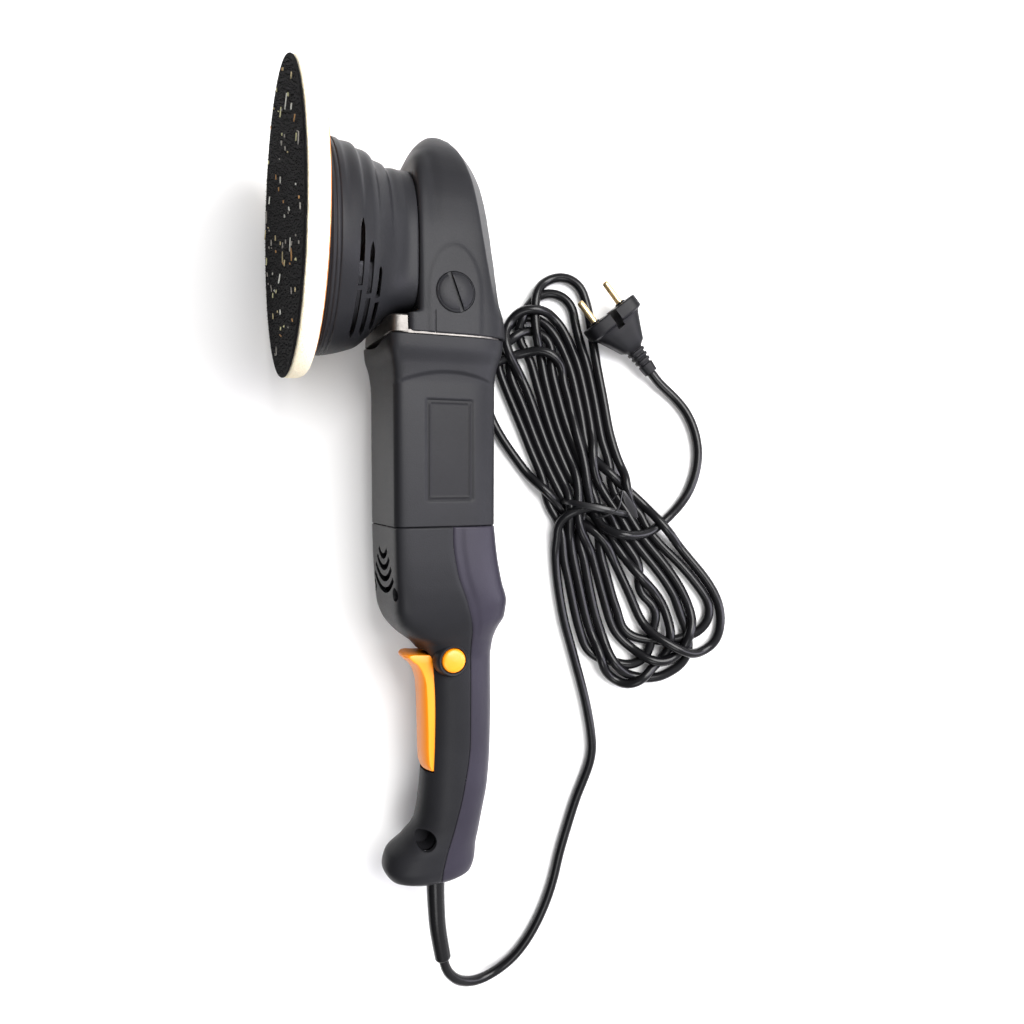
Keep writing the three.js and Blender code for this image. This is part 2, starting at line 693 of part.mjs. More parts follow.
function buildMotor() {
  const motor = new THREE.Group();
  addPart(motor, 'motor_shaft', motorShaft(), 'steel');
  addPart(motor, 'pinion', pinion(), 'steel');
  addPart(motor, 'fan', fan(), 'housing');
  addPart(motor, 'armature_core', armatureCore(), 'copper');
  addPart(motor, 'commutator', commutator(), 'copper');
  addPart(motor, 'stator_core', statorCore(), 'castIron');
  addPart(motor, 'field_winding_front', fieldWinding(-69.7, -62.4), 'copper');
  addPart(motor, 'field_winding_rear', fieldWinding(-127, -120.3), 'copper');
  addPart(motor, 'front_bearing', bearing(11.2, SHAFT_RADIUS, -46.4, -37, 'y'), 'steel');
  addPart(motor, 'rear_bearing', bearing(10, SHAFT_RADIUS, -156.4, -150, 'y'), 'steel');
  addPart(motor, 'bearing_bracket', bearingBracket(), 'housing');
  for (const [side, word] of [[1, 'left'], [-1, 'right']]) {
    addPart(motor, `brush_holder_${word}`, brushHolder(side), 'brass');
    addPart(motor, `carbon_brush_${word}`, carbonBrush(side), 'carbon');
  }
  return motor;
}

function buildHousing() {
  const housing = new THREE.Group();
  addPart(housing, 'gear_case', gearCase(), 'alloy');
  addPart(housing, 'head_cover', headCover(), 'housing');
  addPart(housing, 'shroud', shroud(), 'housing');
  addPart(housing, 'motor_housing', motorHousing(), 'housing');
  for (const [side, word] of [[1, 'left'], [-1, 'right']]) {
    addPart(housing, `side_cap_${word}`, sideCap(side), 'housing');
    addPart(housing, `label_${word}`, labelPlate(side), 'label');
  }
  return housing;
}

function buildHandle() {
  const handle = new THREE.Group();
  addPart(handle, 'handle_front_shell', handleFrontShell(), 'housing');
  addPart(handle, 'handle_back_shell', handleBackShell(), 'rearCover');
  addPart(handle, 'trigger', trigger(), 'accent');
  addPart(handle, 'lock_button', lockButton(), 'accent');
  addPart(handle, 'switch_body', switchBody(), 'electronics');
  addPart(handle, 'switch_plunger', switchPlunger(), 'plug');
  addPart(handle, 'speed_module', speedModule(), 'electronics');
  addPart(handle, 'speed_dial', speedDial(), 'plug');
  addPart(handle, 'cord_clamp', cordClamp(), 'plug');
  addPart(handle, 'strain_relief', strainRelief(), 'cord');
  SCREW_PLACES.forEach(([y, z], i) => addPart(handle, `handle_screw_${i + 1}`, handleScrew(y, z), 'steel'));
  return handle;
}

tool.add(buildPlate(), buildDrive(), buildMotor(), buildHousing(), buildHandle());

// The tool is laid down on the table, and the origin goes under the middle of its box
tool.rotation.set(THREE.MathUtils.degToRad(REST_PITCH), THREE.MathUtils.degToRad(REST_ROLL), 0);
tool.updateMatrixWorld(true);
const toolBox = new THREE.Box3().setFromObject(tool, true);
const toolMiddle = toolBox.getCenter(new THREE.Vector3());
tool.position.set(-toolMiddle.x, -toolMiddle.y, -toolBox.min.z);
tool.updateMatrixWorld(true);

// The lead lies on the table. Its points are [x, y, height] from the point under the motor and spindle axes.
const LYING = CORD_DIAMETER / 2 + 0.15;
const sleeveEnd = new THREE.Vector3(...SLEEVE_ROUTE.at(-1), 0).applyQuaternion(tool.quaternion);
sleeveEnd.z += tool.position.z;
const sleeveWay = new THREE.Vector3(2.8, -13.6, 0).normalize().applyQuaternion(tool.quaternion);

function leadRoute() {
  const start = sleeveEnd.clone().addScaledVector(sleeveWay, GAP);
  const straight = sleeveEnd.clone().addScaledVector(sleeveWay, 6);
  const lying = [
    [12, -411, 21], [22, -417, 11.5], [34, -415.6, 4.6], [49, -404, LYING], [57, -392, LYING],
    [66, -371, LYING], [73, -353, LYING], [78, -338, LYING], [85, -317, LYING], [90, -299, LYING],
    [91, -285, LYING], [87, -265, LYING], [82, -245, LYING], [76, -227, LYING], [72, -203, LYING],
    [71, -182, LYING], [73, -165, LYING], [79, -153, LYING], [87.6, -147, 3.4],
  ];
  return [start, straight, ...toPoints(lying)];
}

// Two turns of the hank lie loose beside it, with their ends under the tool's back
const LONG_TURN = [
  [76, -133, LYING], [64, -126, LYING], [48, -113, LYING], [35, -96.5, LYING], [26, -80, LYING],
  [22.6, -66, LYING], [25, -55, 3.8], [32, -47, 7.4], [41, -43, 9.2], [51, -41, 9],
];
const SHORT_TURN = [
  [66.5, -114.6, LYING], [60, -103, LYING], [52, -83, LYING], [45, -62, LYING], [40, -46, LYING],
  [36, -34, LYING], [36.4, -24, LYING], [42, -19, LYING], [49, -19.6, LYING],
];
const HANK_OUTLINE = [
  [63, 1], [71, 7], [77, 2], [80, -14], [85, -34], [97, -76], [110, -128], [116, -144], [133, -160],
  [156, -186], [168, -217], [160, -238], [134, -251], [112, -249], [97, -227], [90, -191], [90, -155],
  [86, -138], [73, -101], [62, -61], [53, -21], [54, -6],
];
const HANK_HEIGHT = 13;
const PLUG_PLACE = { x: 102, y: -22, z: 13.2, turn: 34.8, tilt: 9 };
const PLUG_LENGTH = 44;

function toPoints(route) {
  return route.map((point) => new THREE.Vector3(...point));
}

function hank() {
  const points = HANK_OUTLINE.map(([x, y]) => new THREE.Vector2(x, y));
  const shape = new THREE.Shape();
  shape.moveTo(points[0].x, points[0].y);
  shape.splineThru([...points.slice(1), points[0]]);
  const outline = new THREE.Shape(shape.getPoints(2).slice(0, -1));
  const geometry = new THREE.ExtrudeGeometry(outline, { depth: HANK_HEIGHT, bevelEnabled: false });
  geometry.translate(0, 0, 0.1);
  return toSolid(geometry);
}

function cordTie() {
  const span = 21;
  const outer = block(-span, span, -1.6, 1.6, 0.1, HANK_HEIGHT + 1.6);
  const inner = block(-span + 1.2, span - 1.2, -3, 3, -1, HANK_HEIGHT + 0.4);
  return outer.subtract(inner).rotate([0, 0, -12]).translate([98, -137, 0]);
}

// The plug's own frame: Y runs out along the pins from the flange's face
// The plug's body widens to two ears with a notch between them
function plugBody() {
  const body = bodyAlongY([
    [-PLUG_LENGTH, -3.7, 3.7, 3.7, 2], [-26, -5.2, 5.2, 5.2, 2.4], [-24, -8, 8, 6.8, 3],
    [-14, -12.6, 12.6, 8.6, 3.4], [-8.4, -15.8, 15.8, 9.6, 3.6], [-7, -17.5, 17.5, 12, 4],
    [0, -17.5, 17.5, 12, 4],
  ], 24);
  const sockets = [-1, 1].map((side) => disc(PIN_RADIUS + GAP, -5, 2, 12).translate([side * PIN_SPACING / 2, 0, 0]));
  const notch = block(-NOTCH_HALF, NOTCH_HALF, -NOTCH_DEPTH, 2, -20, 20);
  return subtractAll(body, [...sockets, notch]);
}

function plugPin(side) {
  const pin = turned([
    [0, -4.7], [PIN_RADIUS, -4.7], [PIN_RADIUS, 14.8], [PIN_RADIUS * 0.7, 15.8], [0, 16],
  ], 12);
  return pin.translate([side * PIN_SPACING / 2, 0, 0]);
}

function buildPlug() {
  const plug = new THREE.Group();
  plug.position.set(PLUG_PLACE.x, PLUG_PLACE.y, PLUG_PLACE.z);
  plug.rotation.order = 'ZXY';
  plug.rotation.z = THREE.MathUtils.degToRad(PLUG_PLACE.turn);
  plug.rotation.x = THREE.MathUtils.degToRad(PLUG_PLACE.tilt);
  addPart(plug, 'plug_body', plugBody(), 'plug');
  addPart(plug, 'plug_pin_a', plugPin(-1), 'brass');
  addPart(plug, 'plug_pin_b', plugPin(1), 'brass');
  plug.updateMatrixWorld(true);
  return plug;
}

function plugLeadRoute(plug) {
  const end = new THREE.Vector3(0, -PLUG_LENGTH - GAP, 0).applyMatrix4(plug.matrixWorld);
  const before = new THREE.Vector3(0, -PLUG_LENGTH - 8, 0).applyMatrix4(plug.matrixWorld);
  const lying = [
    [138.6, -154.6, LYING], [145, -149, LYING], [152, -139, LYING], [157.4, -125, LYING],
    [158.6, -110, LYING], [157, -96, LYING], [152.5, -83, LYING], [145, -72, LYING],
  ];
  return [...toPoints(lying), before, end];
}

function buildCord() {
  const cord = new THREE.Group();
  const radius = CORD_DIAMETER / 2;
  const plug = buildPlug();
  addPart(cord, 'cord_lead', tube(leadRoute(), radius, 8, 34), 'cord');
  addPart(cord, 'cord_long_turn', tube(toPoints(LONG_TURN), radius, 8, 12), 'cord');
  addPart(cord, 'cord_short_turn', tube(toPoints(SHORT_TURN), radius, 8, 12), 'cord');
  addPart(cord, 'cord_plug_lead', tube(plugLeadRoute(plug), radius, 8, 14), 'cord');
  addPart(cord, 'cord_hank', hank(), 'cord');
  addPart(cord, 'cord_tie', cordTie(), 'plug');
  cord.add(plug);
  cord.position.set(tool.position.x, tool.position.y, 0);
  return cord;
}

const root = new THREE.Group();
root.add(tool, buildCord());
export default root;
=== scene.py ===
import json
import random
from math import asin, copysign, cos, exp, hypot, pi, radians, sin, sqrt

import bmesh
import bpy
import numpy as np
from mathutils import Matrix, Vector, noise

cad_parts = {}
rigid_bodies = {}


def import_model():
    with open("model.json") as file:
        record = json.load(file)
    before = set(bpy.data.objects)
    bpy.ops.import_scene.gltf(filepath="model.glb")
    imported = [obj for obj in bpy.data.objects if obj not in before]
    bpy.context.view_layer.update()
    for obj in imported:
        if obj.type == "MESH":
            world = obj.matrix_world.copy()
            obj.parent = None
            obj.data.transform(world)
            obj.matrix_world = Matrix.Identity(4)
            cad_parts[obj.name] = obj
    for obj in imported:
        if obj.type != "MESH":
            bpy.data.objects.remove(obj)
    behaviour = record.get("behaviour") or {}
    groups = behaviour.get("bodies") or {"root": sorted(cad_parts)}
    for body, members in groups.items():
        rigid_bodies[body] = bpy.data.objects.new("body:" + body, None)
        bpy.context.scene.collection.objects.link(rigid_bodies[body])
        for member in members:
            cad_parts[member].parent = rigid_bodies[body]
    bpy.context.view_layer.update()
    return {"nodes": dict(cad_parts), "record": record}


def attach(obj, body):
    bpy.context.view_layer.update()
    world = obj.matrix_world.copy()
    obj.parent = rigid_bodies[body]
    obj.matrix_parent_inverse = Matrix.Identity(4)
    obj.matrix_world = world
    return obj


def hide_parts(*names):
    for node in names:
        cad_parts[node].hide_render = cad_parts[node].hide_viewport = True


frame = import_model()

MM = 0.001
GAP = 0.3


# The tool's own frame, in millimetres: X from the plate to the head's back, Y along the motor, Z up
def joint_named(name):
    return next(j for j in frame["record"]["behaviour"]["joints"] if j["name"] == name)


spindle_joint = joint_named("spindle_spin")
crossing = Vector(spindle_joint["pos_m"])
tool_x = Vector(spindle_joint["axis"])
tool_y = Vector(joint_named("motor_spin")["axis"])
tool_axes = Matrix((tool_x, tool_y, tool_x.cross(tool_y))).transposed()
TOOL = Matrix.Translation(crossing) @ tool_axes.to_4x4() @ Matrix.Scale(MM, 4)
TABLE = Matrix.Translation((crossing.x, crossing.y, 0)) @ Matrix.Scale(MM, 4)


# Camera: straight above the table
CAMERA_SPOT = (44.5, -141, 491)
LENS = 28

camera_data = bpy.data.cameras.new("camera")
camera_data.lens = LENS
camera_data.sensor_width = 36
camera_data.clip_start = 0.01
camera = bpy.data.objects.new("camera", camera_data)
camera.location = TABLE @ Vector(CAMERA_SPOT)
bpy.context.collection.objects.link(camera)
bpy.context.scene.camera = camera


# Small helpers
def smooth(low, high, value):
    t = min(max((value - low) / (high - low), 0), 1)
    return t * t * (3 - 2 * t)


def ring(count):
    """Evenly spaced angles of one turn."""
    return [2 * pi * i / count for i in range(count)]


def make_piece(name, points, faces, body, matrix=TOOL, shade=True):
    mesh = bpy.data.meshes.new(name)
    mesh.from_pydata([matrix @ Vector(p) for p in points], [], faces)
    mesh.validate()
    tidy = bmesh.new()
    tidy.from_mesh(mesh)
    bmesh.ops.recalc_face_normals(tidy, faces=tidy.faces)
    tidy.to_mesh(mesh)
    tidy.free()
    mesh.polygons.foreach_set("use_smooth", [shade] * len(mesh.polygons))
    piece = bpy.data.objects.new(name, mesh)
    bpy.context.collection.objects.link(piece)
    if body:
        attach(piece, body)
    return piece


def skin(rows, closed=True, caps=False):
    """Points and quads of a surface through rows of points, each row going round once."""
    width = len(rows[0])
    points = [p for row in rows for p in row]
    faces = []
    span = width if closed else width - 1
    for i in range(len(rows) - 1):
        for j in range(span):
            a = i * width + j
            b = i * width + (j + 1) % width
            faces.append((a, b, b + width, a + width))
    if caps:
        start = (len(rows) - 1) * width
        faces += [tuple(reversed(range(width))), tuple(range(start, start + width))]
    return points, faces


def solid(rows):
    return skin(rows, caps=True)


def turned(profile, segments, axis="x", centre=(0, 0, 0)):
    """A closed turned surface from [radius, distance along the axis]; a radius of 0 closes on the axis."""
    rows = []
    for radius, along in profile:
        row = []
        for angle in ring(segments):
            u, v = max(radius, 0.001) * cos(angle), max(radius, 0.001) * sin(angle)
            spot = {"x": (along, u, v), "y": (u, along, v), "z": (u, v, along)}[axis]
            row.append(tuple(s + c for s, c in zip(spot, centre)))
        rows.append(row)
    return solid(rows)


def box_shape(x0, x1, y0, y1, z0, z1):
    points = [(x, y, z) for x in (x0, x1) for y in (y0, y1) for z in (z0, z1)]
    faces = [(0, 1, 3, 2), (4, 6, 7, 5), (0, 4, 5, 1), (2, 3, 7, 6), (0, 2, 6, 4), (1, 5, 7, 3)]
    return points, faces


def peg(radius, low, high, spot, sides=48):
    """A round bar along Z at spot."""
    return turned([(0, low), (radius, low), (radius, high), (0, high)], sides, "z", (*spot[:2], 0))


def modify(piece, kind, **settings):
    modifier = piece.modifiers.new(kind.lower(), kind)
    for key, value in settings.items():
        setattr(modifier, key, value)
    return modifier


def settle(piece):
    """The piece's modifiers become its mesh."""
    graph = bpy.context.evaluated_depsgraph_get()
    mesh = bpy.data.meshes.new_from_object(piece.evaluated_get(graph))
    piece.modifiers.clear()
    piece.data = mesh


def thicken(piece, wall):
    """The surface gets a wall of that thickness inwards."""
    modify(piece, "SOLIDIFY", thickness=wall * MM, offset=-1)
    settle(piece)


def cut(piece, shapes, matrix=TOOL):
    """Takes all the shapes out of the piece."""
    for index, (points, faces) in enumerate(shapes):
        cutter = make_piece(f"cutter_{index}", points, faces, None, matrix, False)
        modify(piece, "BOOLEAN", object=cutter, operation="DIFFERENCE", solver="EXACT")
    settle(piece)
    for other in [o for o in bpy.data.objects if o.name.startswith("cutter_")]:
        bpy.data.objects.remove(other)


def sharpen(piece, degrees=32):
    """Smooth shading with crisp edges where the surface turns sharply."""
    mesh = piece.data
    mesh.polygons.foreach_set("use_smooth", [True] * len(mesh.polygons))
    mesh.set_sharp_from_angle(angle=radians(degrees))


def soften_edges(piece, width, segments=2, degrees=32):
    modify(piece, "BEVEL", width=width * MM, segments=segments, limit_method="ANGLE",
           angle_limit=radians(degrees), harden_normals=False)
    settle(piece)
    sharpen(piece, 50)


class Curve:
    """A smooth line through (place, value) pairs that doesn't overshoot between them."""

    def __init__(self, pairs):
        pairs = sorted(pairs)
        self.x = [p[0] for p in pairs]
        self.y = [p[1] for p in pairs]
        count = len(pairs)
        step = [(self.y[i + 1] - self.y[i]) / (self.x[i + 1] - self.x[i]) for i in range(count - 1)]
        slope = [step[0]] + [0.0] * (count - 2) + [step[-1]]
        for i in range(1, count - 1):
            if step[i - 1] * step[i] > 0:
                slope[i] = 2 * step[i - 1] * step[i] / (step[i - 1] + step[i])
        self.slope = slope

    def __call__(self, x):
        x = min(max(x, self.x[0]), self.x[-1])
        i = min(max(sum(1 for v in self.x if v <= x) - 1, 0), len(self.x) - 2)
        h = self.x[i + 1] - self.x[i]
        t = (x - self.x[i]) / h
        a, b = self.y[i], self.y[i + 1]
        ma, mb = self.slope[i] * h, self.slope[i + 1] * h
        return (a * (2 * t**3 - 3 * t**2 + 1) + ma * (t**3 - 2 * t**2 + t)
                + b * (3 * t**2 - 2 * t**3) + mb * (t**3 - t**2))


class Section:
    """A body along Y, from stations of y, front x, back x, half width, back power and front power."""

    def __init__(self, stations):
        full = [s if len(s) == 6 else (*s, s[4]) for s in stations]
        self.curves = [Curve([(s[0], s[k]) for s in full]) for k in range(1, 6)]

    def point(self, y, angle, inset=0):
        front, back, half, back_power, front_power = (c(y) for c in self.curves)
        across, up = cos(angle), sin(angle)
        power = front_power if across < 0 else back_power
        deep = (back - front) / 2 - inset
        far = (abs(across / deep) ** power + abs(up / (half - inset)) ** power) ** (-1 / power)
        return ((front + back) / 2 + across * far, y, up * far)


# Cord: straight out of the sleeve, along the table, round the tied hank and out to the plug
CORD_DIAMETER = 5.7
TIGHTEST_BEND = 19
LONGEST_SHIFT = 16
SETTLING = 0.12
PUSH = 0.5
KEPT_START, KEPT_END = 56, 24
LYING = CORD_DIAMETER / 2 + 0.15
SLEEVE_ROUTE = [(0, -345), (0, -354), (0.3, -368), (1.4, -384), (4.6, -403.5)]
SLEEVE_WAY = Vector((2.8, -13.6, 0)).normalized()
LEAD = [
    (11.5, -418, 19), (21.5, -423.5, 11), (33.5, -421.5, 5), (46, -412.5, LYING), (56.5, -398, LYING),
    (64.7, -381, LYING), (70, -365, LYING), (74, -348, LYING), (83.1, -318, LYING), (89, -303, LYING),
    (92.7, -292, LYING), (93.3, -280, LYING), (89.3, -256, LYING), (81.3, -225.6, LYING),
    (76.5, -208, LYING), (73.2, -190, LYING), (71.2, -172, LYING), (71.4, -159, 5), (75.5, -149.5, 10),
    (84, -140.5, 16.5), (96, -137.3, 20), (106.7, -139.6, 20), (116.5, -147, 15),
]
LONG_TURN = [
    (76, -133, LYING), (64, -126, LYING), (48, -113, LYING), (35, -96.5, LYING), (26, -80, LYING),
    (22.6, -66, LYING), (25, -55, 3.8), (32, -47, 7.4), (41, -43, 9.2), (51, -41, 9),
]
SHORT_TURN = [
    (66.5, -114.6, LYING), (60, -103, LYING), (52, -83, LYING), (45, -62, LYING), (40, -46, LYING),
    (36, -34, LYING), (36.4, -24, LYING), (42, -19, LYING), (49, -19.6, LYING),
]
PLUG_LEAD = [
    (88.5, -133, 15), (88, -143.5, 19), (96.4, -150.5, 20.5), (109, -154.5, 18), (121, -155, 12),
    (130.5, -152, 5.5), (139.5, -145, LYING), (147.5, -136.5, LYING), (153.5, -127, LYING),
    (157.4, -115, LYING), (158.4, -103, LYING), (156, -90.5, LYING), (151, -79.5, LYING),
    (143.5, -70.5, LYING),
]
PLUG_SPOT = Vector((102, -22, 13.2))
PLUG_TURN = radians(38.5)
PLUG_TILT = radians(9)
PLUG_LENGTH = 44
PIN_HALF = 9.5
WAIST = Vector((93, -140, 0))
UPPER_WAY = radians(105.5)
UPPER_LENGTH = 139
ROUTE_STRETCH = 1.021
PLUG = (Matrix.Translation((crossing.x, crossing.y, 0)) @ Matrix.Scale(MM, 4)
        @ Matrix.Translation(PLUG_SPOT) @ Matrix.Rotation(PLUG_TURN, 4, "Z")
        @ Matrix.Rotation(PLUG_TILT, 4, "X"))


def lobe(way, length, half, begin, end, heights):
    """One loop of the hank from the waist out to its fold and back, as points on the table."""
    along = Vector((cos(way), sin(way), 0))
    aside = Vector((-along.y, along.x, 0))
    straight = length - half
    points = []
    for step in (0.0, 0.25, 0.5, 0.75):
        spread = begin + (half * copysign(1, begin) - begin) * smooth(-0.15, 1.05, step)
        points.append((step * straight, spread))
    side = copysign(1, begin)
    for step in range(7):
        angle = pi * step / 6
        points.append((straight + half * sin(angle), side * half * cos(angle)))
    for step in (0.75, 0.5, 0.25, 0.0):
        spread = end + (half * copysign(1, end) - end) * smooth(-0.15, 1.05, step)
        points.append((step * straight, spread))
    low, high = heights
    total = len(points) - 1
    return [WAIST + along * a + aside * b + Vector((0, 0, low + (high - low) * i / total))
            for i, (a, b) in enumerate(points)]


def hank_route():
    route = []
    turns = 6
    for turn in range(turns):
        column, row = turn // 2, turn % 2
        height = LYING + CORD_DIAMETER * row
        left = 12 - 5 * column
        right = -(12 - 5 * (turns // 2 - 1 - column))
        way = radians(-80 + 6.4 * turn)
        half = 25 + 1.6 * ((turn * 2) % 5)
        length = 101 + 4 * ((turn * 3) % 4)
        route += lobe(way, length, half, -right, -left, (height, height))[1:-1]
        if turn == turns - 2:
            turn_points = [Vector(p) for p in SHORT_TURN]
            back = [Vector((57, -24, 9)), Vector((66, -34, 9)), Vector((74, -50, 9)), Vector((83, -78, 9)),
                    Vector((87, -112, 9))]
        elif turn == turns - 1:
            turn_points = [Vector(p) for p in LONG_TURN]
            back = [Vector((62, -38, 12)), Vector((72, -42, 13)), Vector((79, -54, 13)),
                    Vector((82, -80, 12)), Vector((86, -108, 11))]
        else:
            middle = UPPER_WAY + radians((8, 3.5, -1.5, -6.5)[turn])
            turn_points = lobe(middle, UPPER_LENGTH + (-13, -4, 4, 10)[turn], 17.4, left, right,
                               (height, height + 4))
            back = []
        route += turn_points + back
    return route


def resample(points, step):
    """Evenly spaced points along a smooth curve through these ones."""
    fine = []
    count = len(points)
    for i in range(count - 1):
        a, b, c, d = (points[min(max(i + k, 0), count - 1)] for k in (-1, 0, 1, 2))
        for k in range(12):
            t = k / 12
            fine.append(0.5 * ((2 * b) + (c - a) * t + (2 * a - 5 * b + 4 * c - d) * t * t
                               + (3 * b - a - 3 * c + d) * t**3))
    fine.append(points[-1])
    lengths = [0.0]
    for p, q in zip(fine, fine[1:]):
        lengths.append(lengths[-1] + (q - p).length)
    number = round(lengths[-1] / step)
    even, j = [], 0
    for i in range(number + 1):
        target = lengths[-1] * i / number
        while j < len(fine) - 2 and lengths[j + 1] < target:
            j += 1
        t = (target - lengths[j]) / max(lengths[j + 1] - lengths[j], 1e-9)
        even.append(fine[j].lerp(fine[j + 1], t))
    return even


def ease(place, free, reach, gap):
    """Bends tighter than the cord's tightest one are opened a little."""
    allowed = (reach * gap) ** 2 / (2 * TIGHTEST_BEND)
    bow = place[reach:-reach] - (place[:-2 * reach] + place[2 * reach:]) / 2
    size = np.linalg.norm(bow, axis=1, keepdims=True) + 1e-9
    shift = bow * np.maximum(0, 1 - allowed / size)
    place[reach:-reach] -= 0.5 * shift * free[reach:-reach]
    place[:-2 * reach] += 0.25 * shift * free[:-2 * reach]
    place[2 * reach:] += 0.25 * shift * free[2 * reach:]


def relax(points, fixed, rounds):
    """The strands push each other apart, keep their spacing, stay smooth and settle on the table."""
    place = np.array([tuple(p) for p in points])
    home = place.copy()
    count = len(place)
    gap = np.linalg.norm(place[1] - place[0])
    held = np.zeros(count, bool)
    held[fixed] = True
    free = (~held)[:, None]
    index = np.arange(count)
    near = int(CORD_DIAMETER * 3 / gap) + 1
    apart = np.abs(index[:, None] - index[None, :]) > near
    for step in range(rounds):
        place[:, 2] -= SETTLING * (~held)
        offset = place[:, None, :] - place[None, :, :]
        distance = np.linalg.norm(offset, axis=2) + 1e-6
        close = apart & (distance < CORD_DIAMETER)
        push = np.where(close, (CORD_DIAMETER - distance) / distance * PUSH, 0)[:, :, None] * offset
        push[:, :, 2] += np.where(close & (np.abs(offset[:, :, 2]) < 0.4), 0.06, 0) * np.sign(
            index[:, None] - index[None, :])
        shove = push.sum(axis=1)
        shove[2:-2] = sum(shove[2 + k:count - 2 + k] * (3 - abs(k)) for k in range(-2, 3)) / 6
        place += shove * free
        middle = (place[:-2] + place[2:]) / 2
        place[1:-1] += 0.10 * (middle - place[1:-1]) * free[1:-1]
        for reach in (3, 2, 1):
            ease(place, free, reach, gap)
        link = place[1:] - place[:-1]
        size = np.linalg.norm(link, axis=1, keepdims=True) + 1e-9
        fix = link * (1 - gap / size) * 0.45
        place[:-1] += fix * free[:-1]
        place[1:] -= fix * free[1:]
        moved = place[:, :2] - home[:, :2]
        far = np.linalg.norm(moved, axis=1, keepdims=True) + 1e-9
        place[:, :2] = home[:, :2] + moved * np.minimum(1, LONGEST_SHIFT / far)
        place[:, 2] = np.maximum(place[:, 2], LYING - 0.05)
    return [Vector(p) for p in place]


def spread_out(points):
    """The route's points, stretched a little from the middle of the layout."""
    grown = ROUTE_STRETCH
    return [Vector((44.5 + (p[0] - 44) * grown, -141 + (p[1] + 141) * grown, p[2])) for p in points]


def build_cord():
    sleeve_end = TABLE.inverted() @ TOOL @ Vector((*SLEEVE_ROUTE[-1], 0))
    way = tool_axes @ SLEEVE_WAY
    plug_in = TABLE.inverted() @ PLUG
    start = [sleeve_end + way * GAP, sleeve_end + way * 6]
    lead = start + [Vector(p) for p in LEAD]
    finish = [Vector(p) for p in PLUG_LEAD] + [
        plug_in @ Vector((0, -PLUG_LENGTH - 8, 0)), plug_in @ Vector((0, -PLUG_LENGTH - GAP, 0))]
    route = lead + spread_out(hank_route()[2:]) + finish
    even = resample(route, 6)
    count = len(even)
    fixed = list(range(KEPT_START)) + list(range(count - KEPT_END, count))
    settled = relax(even, fixed, 320)
    curve = bpy.data.curves.new("cord", "CURVE")
    curve.dimensions = "3D"
    curve.bevel_depth = CORD_DIAMETER / 2
    curve.bevel_resolution = 5
    curve.resolution_u = 3
    line = curve.splines.new("NURBS")
    line.points.add(len(settled) - 1)
    for spot, point in zip(line.points, settled):
        spot.co = (*((TABLE @ point) / MM), 1)
    line.order_u = 4
    line.use_endpoint_u = True
    cord = bpy.data.objects.new("cord", curve)
    cord.scale = (MM, MM, MM)  # the line is in millimetres
    bpy.context.collection.objects.link(cord)
    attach(cord, "tool")
    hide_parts("cord_lead", "cord_long_turn", "cord_short_turn", "cord_plug_lead", "cord_hank")
    length = sum((q - p).length for p, q in zip(settled, settled[1:])) * MM
    return cord, round(length, 3), TABLE @ settled[0]


# Materials
def shader(name, color, roughness, metal=0.0, shine=0.5):
    material = bpy.data.materials.new(name)
    material.use_nodes = True
    nodes = material.node_tree.nodes
    base = nodes["Principled BSDF"]
    base.inputs["Base Color"].default_value = (*color, 1)
    base.inputs["Roughness"].default_value = roughness
    base.inputs["Metallic"].default_value = metal
    base.inputs["Specular IOR Level"].default_value = shine
    return material, nodes, material.node_tree.links, base


def noise_node(nodes, links, scale, detail=4.0, stretch=None):
    coordinates = nodes.new("ShaderNodeTexCoord")
    texture = nodes.new("ShaderNodeTexNoise")
    texture.inputs["Scale"].default_value = scale
    texture.inputs["Detail"].default_value = detail
    if stretch:
        mapping = nodes.new("ShaderNodeMapping")
        mapping.inputs["Scale"].default_value = stretch
        links.new(coordinates.outputs["Object"], mapping.inputs["Vector"])
        links.new(mapping.outputs["Vector"], texture.inputs["Vector"])
    else:
        links.new(coordinates.outputs["Object"], texture.inputs["Vector"])
    return texture


def ramp_node(nodes, links, source, stops):
    ramp = nodes.new("ShaderNodeValToRGB")
    elements = ramp.color_ramp.elements
    for index, (place, color) in enumerate(stops):
        element = elements[index] if index < 2 else elements.new(place)
        element.position = place
        element.color = (*color, 1)
    links.new(source, ramp.inputs["Fac"])
    return ramp


def bump_node(nodes, links, height, base, strength, distance):
    bump = nodes.new("ShaderNodeBump")
    bump.inputs["Strength"].default_value = strength
    bump.inputs["Distance"].default_value = distance
    links.new(height, bump.inputs["Height"])
    links.new(bump.outputs["Normal"], base.inputs["Normal"])


def textured(name, color, roughness, metal=0.0, grain=1400.0, spread=0.12, relief=0.35, depth=0.0001,
             rough_spread=0.08, stretch=None, shine=0.5, patches=28.0):
    """A moulded or cast surface: fine grain in relief, with slight changes of colour and gloss."""
    material, nodes, links, base = shader(name, color, roughness, metal, shine)
    broad = noise_node(nodes, links, patches, 3)
    dark = tuple(c * (1 - spread) for c in color)
    light = tuple(min(c * (1 + spread), 1) for c in color)
    tint = ramp_node(nodes, links, broad.outputs["Fac"], [(0.3, dark), (0.7, light)])
    links.new(tint.outputs["Color"], base.inputs["Base Color"])
    gloss = nodes.new("ShaderNodeMapRange")
    gloss.inputs["To Min"].default_value = roughness - rough_spread
    gloss.inputs["To Max"].default_value = roughness + rough_spread
    fine = noise_node(nodes, links, grain, 2, stretch)
    links.new(fine.outputs["Fac"], gloss.inputs["Value"])
    links.new(gloss.outputs["Result"], base.inputs["Roughness"])
    bump_node(nodes, links, fine.outputs["Fac"], base, relief, depth)
    return material


